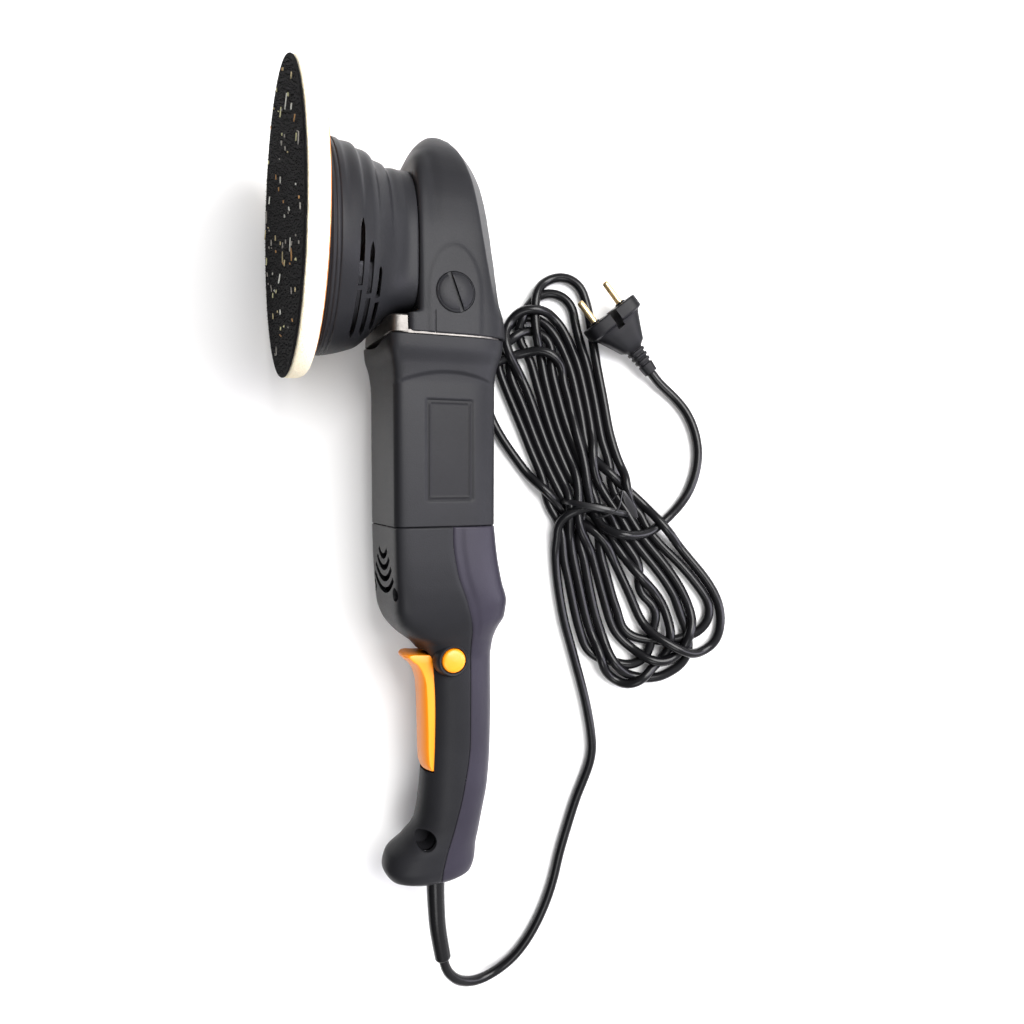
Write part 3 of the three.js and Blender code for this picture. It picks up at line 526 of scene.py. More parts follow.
def rubber(name, unit):
    """The cord's rubber, for a piece whose own unit is that many metres."""
    return textured(name, (0.0045, 0.0045, 0.0052), 0.22, grain=420 * unit, spread=0.2, relief=0.10,
                    depth=0.0002, rough_spread=0.07, shine=0.24, patches=28 * unit)


PALETTE = {
    "housing_plastic": textured("housing_plastic", (0.0130, 0.0132, 0.0150), 0.40, relief=0.5, shine=0.11),
    # rear_plastic: lighter and more violet than the housing; this tint is painted sheen, the light falling
    # from the right onto the back of the handle painted into the shell's base colour
    "rear_plastic": textured("rear_plastic", (0.0225, 0.0200, 0.0300), 0.40, relief=0.4, shine=0.16),
    "panel_plastic": textured("panel_plastic", (0.0095, 0.0095, 0.011), 0.42, grain=900.0, relief=0.2,
                              shine=0.11),
    "accent_plastic": textured("accent_plastic", (0.93, 0.27, 0.003), 0.34, grain=700.0, spread=0.03,
                               relief=0.08, rough_spread=0.04),
    "alloy": textured("alloy", (0.135, 0.127, 0.120), 0.46, 1.0, grain=500.0, relief=0.5, depth=0.0002),
    "steel": textured("steel", (0.50, 0.51, 0.53), 0.27, 1.0, grain=300.0, relief=0.1,
                      stretch=(1, 12, 12)),
    "iron": textured("iron", (0.11, 0.11, 0.12), 0.5, 0.8, grain=400.0, relief=0.5),
    "copper": textured("copper", (0.55, 0.21, 0.09), 0.35, 1.0, grain=350.0, stretch=(10, 1, 10)),
    "pin_brass": textured("pin_brass", (0.72, 0.55, 0.30), 0.3, 1.0, grain=260.0, relief=0.12,
                          stretch=(8, 1, 1)),
    "carbon": textured("carbon", (0.02, 0.02, 0.02), 0.7),
    "electronics": textured("electronics", (0.03, 0.05, 0.045), 0.5),
    "dial_plastic": textured("dial_plastic", (0.012, 0.012, 0.014), 0.5, shine=0.3),
    "tie_plastic": textured("tie_plastic", (0.006, 0.006, 0.007), 0.35, relief=0.2, shine=0.4),
    "plug_plastic": textured("plug_plastic", (0.0060, 0.0060, 0.0072), 0.40, grain=1100.0, relief=0.3,
                             shine=0.14),
    "fibre_board": textured("fibre_board", (0.42, 0.15, 0.035), 0.6, grain=600.0, spread=0.25),
    "cord_rubber": rubber("cord_rubber", 1),
    "cord_jacket": rubber("cord_jacket", MM),
}


def cellular(name, color, roughness, scale, stops, relief, depth, shine=0.5):
    """A surface of small cells, in colour and in relief."""
    material, nodes, links, base = shader(name, color, roughness, 0.0, shine)
    cells = nodes.new("ShaderNodeTexVoronoi")
    cells.inputs["Scale"].default_value = scale
    coordinates = nodes.new("ShaderNodeTexCoord")
    links.new(coordinates.outputs["Object"], cells.inputs["Vector"])
    tint = ramp_node(nodes, links, cells.outputs["Distance"], stops)
    links.new(tint.outputs["Color"], base.inputs["Base Color"])
    bump_node(nodes, links, cells.outputs["Distance"], base, relief, depth)
    return material, base


def foam_material():
    stops = [(0.0, (0.80, 0.66, 0.42)), (0.45, (0.96, 0.87, 0.66))]
    material, base = cellular("foam", (0.93, 0.84, 0.64), 0.9, 900, stops, 0.6, 0.0004)
    base.inputs["Subsurface Weight"].default_value = 0.1
    base.inputs["Subsurface Radius"].default_value = (0.004, 0.003, 0.002)
    return material


def hook_material():
    stops = [(0.1, (0.0035, 0.0035, 0.004)), (0.7, (0.001, 0.001, 0.0012))]
    return cellular("hook_fabric", (0.002, 0.002, 0.0022), 0.9, 620, stops, 0.8, 0.0006, 0.12)[0]


PALETTE["foam"] = foam_material()
PALETTE["hook_fabric"] = hook_material()


def paint(piece, name):
    piece.data.materials.clear()
    piece.data.materials.append(PALETTE[name])
    for polygon in getattr(piece.data, "polygons", []):
        polygon.material_index = 0


def finish_piece(piece, material, *nodes, slot=None):
    paint(piece, material)
    if nodes:
        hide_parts(*nodes)
    return piece


for entry in frame["record"]["subparts"]:
    node = frame["nodes"].get(entry["node"])
    if node:
        node.data.materials.clear()
        node.data.materials.append(PALETTE[entry["material_slot"]])


# Backing plate
PLATE_RADIUS = 79
THROW = 10.5
HOOK_FACE = -82.4
HOOK_TOP = HOOK_FACE + 1.4


def build_hook_face():
    face, rim = HOOK_FACE, PLATE_RADIUS
    edge = [(0, HOOK_TOP), (rim - 0.8, HOOK_TOP), (rim, face + 1.1), (rim + 0.1, face + 0.6),
            (rim - 0.2, face + 0.1), (rim - 0.8, face), (0, face)]
    rings = [*edge[:6], *[((rim - 0.8) * k / 12, face) for k in range(11, 0, -1)], edge[6]]
    points, faces = turned(rings, 128, "x", (0, THROW, 0))
    pick = random.Random(11)
    spacing = 2.6
    steps = int(PLATE_RADIUS / spacing)
    for i in range(-steps, steps + 1):
        for j in range(-steps, steps + 1):
            y = (i + pick.uniform(-0.3, 0.3)) * spacing
            z = (j + 0.5 * (i % 2) + pick.uniform(-0.3, 0.3)) * spacing
            if hypot(y, z) > PLATE_RADIUS - 1.5:
                continue
            lean_y, lean_z = pick.uniform(-0.5, 0.5), pick.uniform(-0.5, 0.5)
            base = len(points)
            for k in range(3):
                angle = 2 * pi * k / 3 + i
                points.append((face + 0.02, y + THROW + 0.32 * cos(angle), z + 0.32 * sin(angle)))
            points.append((face - 0.7, y + THROW + lean_y, z + lean_z))
            faces += [(base, base + 1, base + 3), (base + 1, base + 2, base + 3), (base + 2, base, base + 3),
                      (base + 2, base + 1, base)]
    piece = make_piece("hook_pile", points, faces, "backing_plate")
    sharpen(piece, 40)
    return finish_piece(piece, "hook_fabric", "hook_face")


LINT_COLORS = [(0.62, 0.52, 0.30), (0.75, 0.72, 0.42), (0.55, 0.30, 0.12), (0.8, 0.78, 0.7),
               (0.35, 0.33, 0.30)]


def build_lint():
    """Fibres left in the hooks, most of them lying along the tool."""
    pick = random.Random(7)
    for tone, color in enumerate(LINT_COLORS):
        points, faces = [], []
        for _ in range(13 if tone < 4 else 26):
            radius = PLATE_RADIUS * sqrt(pick.uniform(0.0, 0.86))
            angle = pick.uniform(0, 2 * pi)
            y, z = radius * cos(angle) + THROW, radius * sin(angle)
            length = pick.choice([0.6, 0.9, 1.3, 1.9, 3.6]) * pick.uniform(0.7, 1.3)
            thick = pick.uniform(0.15, 0.55)
            turn = pick.gauss(0, 0.75)
            way = Vector((0, cos(turn), sin(turn)))
            side = Vector((0, -way.z, way.y))
            centre = Vector((HOOK_FACE - 0.9, y, z))
            if hypot(y - THROW, z) + length > PLATE_RADIUS - 3:
                continue
            base = len(points)
            for along, wide in ((-1, 0.3), (-0.4, 1), (0.3, 0.8), (1, 0.2)):
                spot = centre + way * along * length + side * pick.uniform(-0.5, 0.5) * length * 0.4
                for across, lift in ((-1, 0.2), (1, 0.2), (0, -0.35)):
                    points.append(tuple(spot + side * across * wide * thick * 1.5 + Vector((lift, 0, 0))))
            for k in range(3):
                a = base + 3 * k
                for m in range(3):
                    b, c = a + m, a + (m + 1) % 3
                    faces.append((b, c, c + 3, b + 3))
            faces += [(base + 2, base + 1, base), (base + 9, base + 10, base + 11)]
        name = f"lint_{tone}"
        PALETTE[name] = textured(name, color, 0.8, grain=900.0, spread=0.3)
        piece = make_piece(name, points, faces, "backing_plate")
        finish_piece(piece, name, slot="hook_fabric")


FOAM_SEED = 5


def build_foam():
    front = HOOK_TOP + 0.3
    rim, back = PLATE_RADIUS, -70.6
    profile = [(0, front), (60, front), (rim - 0.8, front), (rim - 0.2, front + 0.5),
               (rim + 0.1, front + 1.6), (rim + 0.1, front + 4.0), (rim - 0.1, front + 6.0),
               (rim - 0.5, front + 7.8), (rim - 1.1, back - 1.2),
               (rim - 2, back - 0.3), (rim - 3.2, back), (75.2, back - 0.2), (74.8, back - 0.6),
               (74.7, -71.6), (74.0, -71.5), (40, -71.5), (0, -71.5)]
    points, faces = turned(profile, 220, "x", (0, THROW, 0))
    noise.seed_set(FOAM_SEED)
    rough = []
    for x, y, z in points:
        radius = hypot(y - THROW, z)
        amount = 0.22 if radius > 60 else 0
        shake = noise.noise_vector(Vector((x, y, z)) * 0.9) * amount
        rough.append((x + min(shake.x, 0.1), y + shake.y, z + shake.z))
    piece = make_piece("foam_pad", rough, faces, "backing_plate")
    sharpen(piece, 60)
    return finish_piece(piece, "foam", "plate_foam")


def build_plate_shell():
    profile = [(0, -71.2), (60, -71.2), (73.9, -71.2), (74.4, -70.9), (74.4, -70.1), (74.0, -69.8),
               (72.4, -69.7), (66, -69.7), (64, -69.5), (40, -69.4), (28, -69), (25, -67.5),
               (24, -63.4), (23.4, -62.9),
               (11.4, -62.9), (11.3, -68.9), (0, -69)]
    piece = make_piece("plate_backing", *turned(profile, 160, "x", (0, THROW, 0)), "backing_plate")
    sharpen(piece, 30)
    return finish_piece(piece, "fibre_board", "plate_shell")


# Shroud
NECK_HALF, NECK_TIP, NECK_HEEL = 32.7, 45, 33
COVER_FRONT = -17.6
SHROUD_RIM = -67.6
WALL = 2.5
VENT_HALF = 1.25
# Each column of vents: x, the shroud's reach there, and the upper and the lower slot's ends along the tool
VENTS = [(-51.2, 51, (-27, 2), (-47.5, -28.8)), (-45.9, 49, (-29.4, -7.5), (-45.6, -31.2)),
         (-40.6, 46, (-30, -17), (-43, -31.8))]


def neck_reach(tip, up):
    half = NECK_TIP if tip > 0 else NECK_HEEL
    power = 2.3 if tip > 0 else 4.5
    return (abs(tip / half) ** power + abs(up / NECK_HALF) ** power) ** (-1 / power)


def shroud_reach(x, tip, up):
    to_neck = smooth(-46, -21, x)
    rim = 43 + 13.2 * smooth(-18, -68, x) ** 0.86
    reach = rim * (1 - to_neck) + neck_reach(tip, up) * to_neck
    fade = smooth(-60, -56, x) * smooth(-22, -30, x) * smooth(-0.15, 0.75, tip)
    phase = ((x + 57) / 8.6 + 0.12 * up) % 1
    reach += (1.1 * (smooth(0, 0.72, phase) * smooth(1.0, 0.78, phase)) - 0.4) * fade
    for groove in (-66.2, -64.2, -61.8):
        reach -= 0.65 * exp(-((x - groove) / 0.36) ** 2)
    edge = x - SHROUD_RIM
    reach -= 0.8 * smooth(1.0, 0.0, edge) ** 2 + 0.3 * smooth(0.8, 0.0, COVER_FRONT - GAP - x) ** 2
    return reach


def shroud_row(x, sides, grow=0):
    """The points round the shroud at x."""
    row = []
    for angle in ring(sides):
        tip, up = cos(angle), sin(angle)
        reach = shroud_reach(x, tip, up) + grow
        row.append((x, tip * reach, up * reach))
    return row


def build_shroud():
    span, count = COVER_FRONT - GAP - SHROUD_RIM, 110
    rows = [shroud_row(SHROUD_RIM + span * (i / count), 144) for i in range(count + 1)]
    piece = make_piece("throw_shroud", *skin(rows), "tool")
    thicken(piece, WALL)
    vents = []
    for side in (1, -1):
        for x, reach, upper, lower in VENTS:
            vents.append(vent_slot(x, reach, *upper, side, 1))
            vents.append(vent_slot(x, reach, *lower, side, -1))
    cut(piece, vents)
    soften_edges(piece, 0.25, 2, 40)
    return finish_piece(piece, "housing_plastic", "shroud")


def vent_slot(x, reach, low, high, side, pointed):
    """A curved slot through the shroud between two heights, pointed at its upper (1) or lower (-1) end."""
    start, end = (asin(v / reach) for v in (low, high))
    rows = []
    steps = 14
    for i in range(steps + 1):
        t = i / steps
        angle = start + (end - start) * t
        sharp = 1 - t if pointed > 0 else t
        wide = VENT_HALF * (0.12 + 0.88 * min(sharp / 0.16, 1) ** 0.8)
        tip, up = sin(angle), side * cos(angle)
        rows.append([(x + dx * wide, tip * r, up * r) for dx, r in ((-1, 34), (1, 34), (1, 66), (-1, 66))])
    return solid(rows)


# Head
SEAM_FRONT, SEAM_REAR = -47, -148
COVER_EDGE = SEAM_FRONT + 1.1
COVER_LIP = -23.4
COVER = Section([
    (COVER_EDGE, COVER_LIP, 36, 33.3, 4.2, 22), (-38, COVER_LIP, 35.4, 33.3, 4.2, 22),
    (-36, COVER_LIP, 34.8, 33.3, 4.3, 22), (-34.6, COVER_FRONT, 34.2, 33.2, 4.4, 22),
    (-26, COVER_FRONT, 31.4, 33.2, 4.6, 22), (-8, COVER_FRONT, 29.4, 33, 4.6, 22),
    (8, COVER_FRONT, 27.6, 32.6, 4.6, 22), (24, COVER_FRONT, 25.8, 30.8, 4.4, 18),
    (38, COVER_FRONT, 23.8, 27.2, 4, 12), (48, COVER_FRONT + 0.6, 21.4, 22.4, 3.4, 6),
    (56.5, -14, 18, 16.4, 2.8, 3), (63, -9, 12.4, 9.6, 2.4, 2.4), (66.4, -5, 6.6, 5, 2, 2),
])
CAP_SPOT = (2, -24)
# How far out the flat between the side and the back of the cover lies, along the tool
CREASE = Curve([(-47, 45.6), (-38, 42.6), (-26, 38.8), (-8, 35.8), (8, 33.4), (24, 30.6),
                (38, 26.8), (48, 22.4), (56.5, 17), (63, 10.8), (66.4, 8)])
CREASE_WAY = (0.8, 0.6)


def cover_relief(x, y, z):
    """The arched rise round the slotted cap, and the hollow beside the shroud's joint."""
    if abs(z) < 12:
        return 0
    out = hypot((x - CAP_SPOT[0]) / 14.5, max(y - CAP_SPOT[1], 0) / 25)
    rise = 0.4 * smooth(1.06, 0.94, out) * smooth(20, 27, abs(z))
    hollow = 0.6 * exp(-((x + 8.5) / 3.4) ** 2) * smooth(-4, 34, y) * smooth(16, 22, abs(z))
    return rise - hollow


def creased(point):
    """The point, brought in to the flat between the cover's side and back."""
    x, y, z = point
    over = x * CREASE_WAY[0] + abs(z) * CREASE_WAY[1] - CREASE(y)
    if over <= 0:
        return point
    return (x - CREASE_WAY[0] * over, y, z - copysign(CREASE_WAY[1] * over, z))


def outward(section, y, angle, lift):
    """A point on the section, moved straight out by lift(x, y, z)."""
    x, _, z = section.point(y, angle)
    amount = lift(x, y, z)
    if not amount:
        return (x, y, z)
    before, after = section.point(y, angle - 0.01), section.point(y, angle + 0.01)
    normal = Vector((after[2] - before[2], before[0] - after[0])).normalized()
    return (x + normal.x * amount, y, z + normal.y * amount)


def even_angles(section, y, count):
    """Angles that space the points evenly round the section."""
    fine = [2 * pi * i / 720 for i in range(721)]
    spots = [section.point(y, a) for a in fine]
    run = [0.0]
    for p, q in zip(spots, spots[1:]):
        run.append(run[-1] + hypot(q[0] - p[0], q[2] - p[2]))
    return list(np.interp(np.linspace(0, run[-1], count, endpoint=False), run, fine))


def build_head_cover():
    angles = even_angles(COVER, 0, 180)
    start, nose = COVER_EDGE, 66.4
    ys = [start, start + 0.15, start + 0.5]
    ys += [start + 1 + (nose - 3 - start) * (i / 100) for i in range(101)]
    ys += [nose - 1.2, nose - 0.6, nose - 0.2]
    rows = []
    for y in ys:
        tuck = 0.5 * smooth(start + 0.6, start, y) ** 2
        rows.append([creased(outward(COVER, y, a, lambda px, py, pz: cover_relief(px, py, pz) - tuck))
                     for a in angles])
    tip = rows[-1]
    centre = (0.8, 66.5, 0)
    for scale in (0.6, 0.25):
        rows.append([tuple(c + (p - c) * scale + (0.12 if k == 1 else 0)
                           for k, (p, c) in enumerate(zip(q, centre))) for q in tip])
    piece = make_piece("cover_shell", *solid(rows), "tool")
    inside = solid([[COVER.point(y, a, 3.2) for a in angles] for y in [-60 + 4 * i for i in range(30)]])
    neck = solid([[(x, cos(a) * (neck_reach(cos(a), sin(a)) - 1.2),
                   sin(a) * (neck_reach(cos(a), sin(a)) - 1.2))
                  for a in ring(64)] for x in (-30, -12)])
    flange = box_shape(COVER_LIP - 4, -10, -60, SEAM_FRONT + 8.4, -28.4, 28.4)
    side_line = [box_shape(-9.2, -8.8, -60, -34, z, z + 2) for z in (32.9, -34.9)]
    caps = [peg(10.9, 30.4 * side, 44 * side, CAP_SPOT) for side in (1, -1)]
    cut(piece, [inside, neck, flange, *caps, *side_line])
    soften_edges(piece, 0.3, 2, 45)
    return finish_piece(piece, "housing_plastic", "head_cover")


def build_side_cap(side, word):
    body = turned([(0, 30.8), (10.4, 30.8), (10.6, 31.2), (10.6, 33.5), (10.2, 34.0), (9.9, 34.1),
                   (9.6, 33.9), (9.3, 34.1), (8.6, 34.45), (4, 34.75), (0, 34.8)], 72, "z", (0, 0, 0))
    piece = make_piece(f"slotted_cap_{word}", *body, None)
    slot, slot_faces = box_shape(-1.15, 1.15, -12, 12, 33.1, 37)
    turn = Matrix.Rotation(radians(20), 4, "Z")
    cut(piece, [([tuple(turn @ Vector(p)) for p in slot], slot_faces)])
    place = TOOL @ Matrix.Translation((*CAP_SPOT, 0)) @ Matrix.Rotation(0 if side > 0 else pi, 4, "X")
    piece.data.transform(place @ TOOL.inverted())
    soften_edges(piece, 0.25, 2, 35)
    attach(piece, "tool")
    return finish_piece(piece, "housing_plastic", f"side_cap_{word}")


# Motor housing
HOUSING = Section([
    (SEAM_REAR + GAP / 2, -30, 30, 30, 4.4, 14), (-72, -30, 30, 30, 4.6, 16), (-62, -31, 31, 31, 4.8, 16),
    (-53, -33.2, 33.4, 33.2, 5, 14), (SEAM_FRONT, -33.7, 34, 33.7, 5, 12),
])
LABEL = (-13, 13, -134, -80)


def housing_relief(x, y, z):
    """A recessed side panel under an arch, with a plain inset plate in it."""
    if abs(z) < 25:
        return 0
    arch = -65.5 - 0.0078 * x * x
    panel = smooth(arch + 0.7, arch - 0.7, y) * smooth(25.5, 27.5, abs(z))
    x0, x1, y0, y1 = LABEL
    inside = min(x - x0, x1 - x, y - y0, y1 - y)
    inset = smooth(-0.35, 0.35, inside) * 0.7
    return -0.7 * panel - inset


def build_motor_housing():
    angles = even_angles(HOUSING, -100, 190)
    low, high = SEAM_REAR + GAP / 2, SEAM_FRONT
    ys = [low, low + 0.15, low + 0.5]
    ys += [low + 1 + (high - low - 2) * i / 140 for i in range(141)]
    ys += [high - 0.5, high - 0.15, high]
    rows = []
    for y in ys:
        tuck = 0.5 * max(smooth(low + 0.6, low, y), smooth(high - 0.6, high, y)) ** 2
        row = []
        for a in angles:
            x, py, z = outward(HOUSING, y, a, lambda px, qy, pz: housing_relief(px, qy, pz) - tuck)
            drop = 3.4 * smooth(-14, -33, x) * smooth(33, 0, abs(z)) * smooth(-60, SEAM_FRONT, y)
            row.append((x, py - drop, z))
        rows.append(row)
    piece = make_piece("housing_sleeve", *skin(rows), "tool")
    thicken(piece, 2)
    sharpen(piece, 40)
    return finish_piece(piece, "housing_plastic", "motor_housing")


def build_label(side, word):
    """A plain panel with a fine raised border and no lettering."""
    x0, x1, y0, y1 = LABEL
    columns, rows_count = 40, 80
    rows = []
    for i in range(rows_count + 1):
        y = y0 + 0.5 + (y1 - y0 - 1) * i / rows_count
        row = []
        for j in range(columns + 1):
            x = x0 + 0.5 + (x1 - x0 - 1) * j / columns
            edge = min(x - x0, x1 - x, y - y0, y1 - y) - 0.5
            border = 0.22 * smooth(0.9, 0.6, abs(edge - 1.4) + 0.3)
            row.append((x, y, side * (28.75 + border)))
        rows.append(row)
    piece = make_piece(f"side_panel_{word}", *skin(rows, closed=False), "tool")
    thicken(piece, 0.6)
    sharpen(piece, 30)
    return finish_piece(piece, "panel_plastic", f"label_{word}")


# Gear case: the part that shows at the front corner
def build_gear_case():
    flange = Section([(SEAM_FRONT + GAP, -33, 33, 32.6, 4.4, 10), (SEAM_FRONT + 2, -33, 33, 32.6, 4.4, 10)])
    block = Section([(SEAM_FRONT + 0.6, -33, -4, 32.6, 5, 9), (SEAM_FRONT + 10, -32.6, -4, 31.6, 5, 9)])
    angles = even_angles(flange, SEAM_FRONT + 1, 160)

    def body(section, ys, grow):
        return solid([[section.point(y, a, inset) for a in angles] for y, inset in zip(ys, grow)])

    y0, y1 = SEAM_FRONT + GAP, SEAM_FRONT + 2
    flange_skin = body(flange, (y0, y0 + 0.3, y1 - 0.3, y1), (0.3, 0, 0, 0.3))
    piece = make_piece("gear_case_flange", *flange_skin, "tool")
    y0, y1 = SEAM_FRONT + 0.6, SEAM_FRONT + 10
    front = make_piece("cutter_front", *body(block, (y0, y0 + 0.4, y1 - 0.8, y1), (0.4, 0, 0, 0.8)), None)
    modify(piece, "BOOLEAN", object=front, operation="UNION", solver="EXACT")
    settle(piece)
    bpy.data.objects.remove(front)
    envelope = [shroud_row(-60 + 43 * i / 12, 72, 0.4) for i in range(13)]
    cover_space = box_shape(COVER_LIP - 0.3, 60, SEAM_FRONT + 0.9, 60, -50, 50)
    cut(piece, [solid(envelope), cover_space])
    sharpen(piece, 35)
    return finish_piece(piece, "alloy")


# Handle
HANDLE = Section([
    (-351, -20, 15.5, 12.5, 2.6), (-348, -27.6, 20.5, 16, 2.5), (-341, -31, 22.8, 18, 2.4),
    (-334, -29.4, 23.6, 18, 2.3), (-327, -20.6, 25.2, 17.6, 2.2), (-317, -12.2, 27.2, 17, 2.2),
    (-298, -9, 31, 16.8, 2.2), (-275, -7.6, 32.6, 16.8, 2.2), (-250, -7, 33, 17, 2.2),
    (-224, -7.6, 32.6, 17.6, 2.4), (-215, -13, 33, 20, 2.8), (-208, -21.5, 35, 23.4, 3, 4),
    (-200, -27, 38.6, 26.6, 3.4, 6), (-192, -28.8, 38.8, 28.4, 3.8, 8.5),
    (-180, -29.2, 35.2, 29.6, 4.1, 11), (-165, -29.7, 32, 30, 4.3, 13),
    (SEAM_REAR - GAP / 2, -30, 30, 30, 4.4, 14),
])
SEAM = Curve([(-360, -1), (-345, -1), (-335, 1), (-317, 7), (-298, 12), (-270, 15.9), (-235, 16), (-208, 15),
              (-192, 11), (-172, 4), (-155, 1.6), (-140, 1.6)])
BUTTON = (5, -223, 6.7)
TRIGGER_HALF = 10.5
END_RECESS = (-9.6, -324.5, 5.3)
SCREWS = [(-184, 22), (-184, -22), (-300, 0)]


def seam_angle(y, offset):
    """The angle at which the handle's outline crosses the seam, on the upper side."""
    target = SEAM(y) + offset
    low, high = 0.0, pi
    for _ in range(30):
        middle = (low + high) / 2
        if HANDLE.point(y, middle)[0] > target:
            low = middle
        else:
            high = middle
    return (low + high) / 2


def shell_rows(side):
    """The strip of the handle's surface in front of the seam (-1) or behind it (1)."""
    top, bottom = SEAM_REAR - GAP / 2, -351
    ys = [top, top - 0.15, top - 0.5]
    ys += [top - 1 - (top - 1.5 - bottom) * i / 190 for i in range(190)]
    ys += [-350.9, bottom]
    columns = 96
    rows = []
    for y in ys:
        edge = seam_angle(y, side * GAP / 2)
        first, last = (edge, 2 * pi - edge) if side < 0 else (-edge, edge)
        tuck_end = 0.5 * smooth(top - 0.6, top, y) ** 2
        row = []
        for j in range(columns + 1):
            t = j / columns
            warped = t + 0.03 * sin(4 * pi * t) / 4
            angle = first + (last - first) * warped
            near = min(t, 1 - t) * columns
            tuck = tuck_end + (0.45 if near == 0 else 0.12 if near == 1 else 0)
            if side > 0:
                tuck += 0.5 * smooth(7, 4, near) * smooth(-215, -198, y)
            x, _, z = HANDLE.point(y, angle)
            shrink = 1 - tuck / 28
            middle = (HANDLE.curves[0](y) + HANDLE.curves[1](y)) / 2
            row.append((middle + (x - middle) * shrink, y, z * shrink))
        rows.append(row)
    last_row = rows[-1]
    for scale in (0.96, 0.85, 0.6, 0.36):
        rows.append([(-1 + (x + 1) * scale, -351 - 1.0 * (1 - scale), z * scale) for x, _, z in last_row])
    return rows


def arc_cutter(radius, half_angle, thick):
    rows = []
    for i in range(17):
        angle = -pi / 2 - half_angle + 2 * half_angle * i / 16
        y0, z0 = sin(angle), cos(angle)
        row = [(x, -154 + y0 * (radius + d), z0 * (radius + d))
               for x, d in ((-45, -thick), (-20, -thick), (-20, thick), (-45, thick))]
        rows.append(row)
    return solid(rows)


def build_front_shell():
    piece = make_piece("grip_front", *skin(shell_rows(-1), closed=False), "tool")
    thicken(piece, WALL)
    slot = TRIGGER_HALF + 0.5
    trigger_slot = box_shape(-40, 6, -288, -217.9, -slot, slot)
    recesses = [peg(END_RECESS[2], 2 * side, 40 * side, END_RECESS, 40) for side in (1, -1)]
    button_hole = peg(BUTTON[2] + 0.6, 8, 40, BUTTON)
    arcs = [arc_cutter(30 - 6.3 * k, radians(43 + 3 * k), 1.6) for k in range(4)]
    heads = []
    for y, z in SCREWS:
        depth = -10 if y < -200 else -22
        heads.append(turned([(0, -60), (3.7, -60), (3.7, depth), (0, depth)], 28, "x", (0, y, z)))
    cut(piece, [trigger_slot, button_hole, *recesses, *arcs, *heads])
    soften_edges(piece, 0.3, 2, 50)
    return finish_piece(piece, "housing_plastic", "handle_front_shell")


def build_recess_cups():
    """The blind cups of the end recesses and the button's collar."""
    cups = []
    for side in (1, -1):
        outline = [(0, 2.0), (5.25, 2.0), (5.25, 11.8), (6.6, 10.8), (6.6, 0.8), (0, 0.8)]
        profile = [(radius, along * side) for radius, along in outline]
        cups.append(make_piece(f"end_recess_{'left' if side > 0 else 'right'}",
                               *turned(profile, 40, "z", (END_RECESS[0], END_RECESS[1], 0)), "tool"))
    x, y, radius = BUTTON
    collar = [(radius + 0.35, 12), (radius + 0.35, 19.4), (radius + 0.7, 19.9), (radius + 1.6, 20.0),
              (radius + 2.3, 19.1), (radius + 2.7, 17.8), (radius + 3.4, 15.6),
              (radius + 3.4, 12.4), (radius + 2, 12.4),
              (radius + 2, 12)]
    rows = []
    for r, along in [*collar, collar[0]]:
        rows.append([(x + r * cos(a), y + r * sin(a), along)
                     for a in ring(64)])
    cups.append(make_piece("button_collar", *skin(rows), "tool"))
    angles = ring(80)
    inner = solid([[HANDLE.point(y, a, 0.25) for a in angles] for y in range(-345, -299, 3)])
    for cup in cups[:2]:
        trim = make_piece("cutter_trim", *inner, None)
        modify(cup, "BOOLEAN", object=trim, operation="INTERSECT", solver="EXACT")
        settle(cup)
        bpy.data.objects.remove(trim)
    for piece in cups:
        sharpen(piece, 35)
        finish_piece(piece, "housing_plastic")


def build_back_shell():
    piece = make_piece("grip_back", *skin(shell_rows(1), closed=False), "tool")
    thicken(piece, WALL)
    cut(piece, [box_shape(29, 60, -198, -174, -3.8, 3.8)])
    soften_edges(piece, 0.35, 2, 50)
    # The shell's lighter violet colour is painted sheen from the light on the right
    return finish_piece(piece, "rear_plastic", "handle_back_shell")


def build_trigger():
    outline = [(-6, -221), (-12, -220.6), (-17.6, -220.0), (-20.2, -220.3), (-20.8, -221.4), (-18.8, -223.4),
               (-15.6, -226), (-13.2, -229.6), (-11.8, -233.4), (-10.9, -237), (-10.4, -246),
               (-10.1, -256), (-9.9, -266), (-9.8, -276), (-9.4, -283), (-8, -287),
               (0, -287), (1.2, -284), (1.6, -232), (0.6, -226)]
    half = TRIGGER_HALF
    rows = []
    for step in range(-8, 9):
        t = step / 8
        row = []
        for x, y in outline:
            crown = 3.0 * abs(t) ** 2.4 * (1 if x < -5 else 0)
            row.append((x + crown, y, half * t))
        rows.append(row)
    piece = make_piece("trigger_lever", *solid(rows), "trigger")
    soften_edges(piece, 1.5, 4, 40)
    sharpen(piece, 60)
    return finish_piece(piece, "accent_plastic", "trigger")


def build_button():
    x, y, radius = BUTTON
    profile = [(0, 13.0), (8.2, 13.0), (8.2, 13.6), (radius, 13.5), (radius, 19.6), (radius - 0.15, 20.2),
               (radius - 0.6, 20.7), (radius - 1.4, 21.0), (radius - 3, 21.25), (0, 21.4)]
    piece = make_piece("button_dome", *turned(profile, 72, "z", (x, y, 0)), "lock_button")
    sharpen(piece, 50)
    return finish_piece(piece, "accent_plastic", "lock_button")


# Sleeve, plug and tie
def tube_rows(route, radii, sides):
    rows = []
    for i, (spot, radius) in enumerate(zip(route, radii)):
        way = (route[min(i + 1, len(route) - 1)] - route[max(i - 1, 0)]).normalized()
        aside = way.cross(Vector((0, 0, 1))).normalized()
        lift = aside.cross(way)
        rows.append([tuple(spot + aside * radius * cos(a) + lift * radius * sin(a))
                     for a in ring(sides)])
    return rows


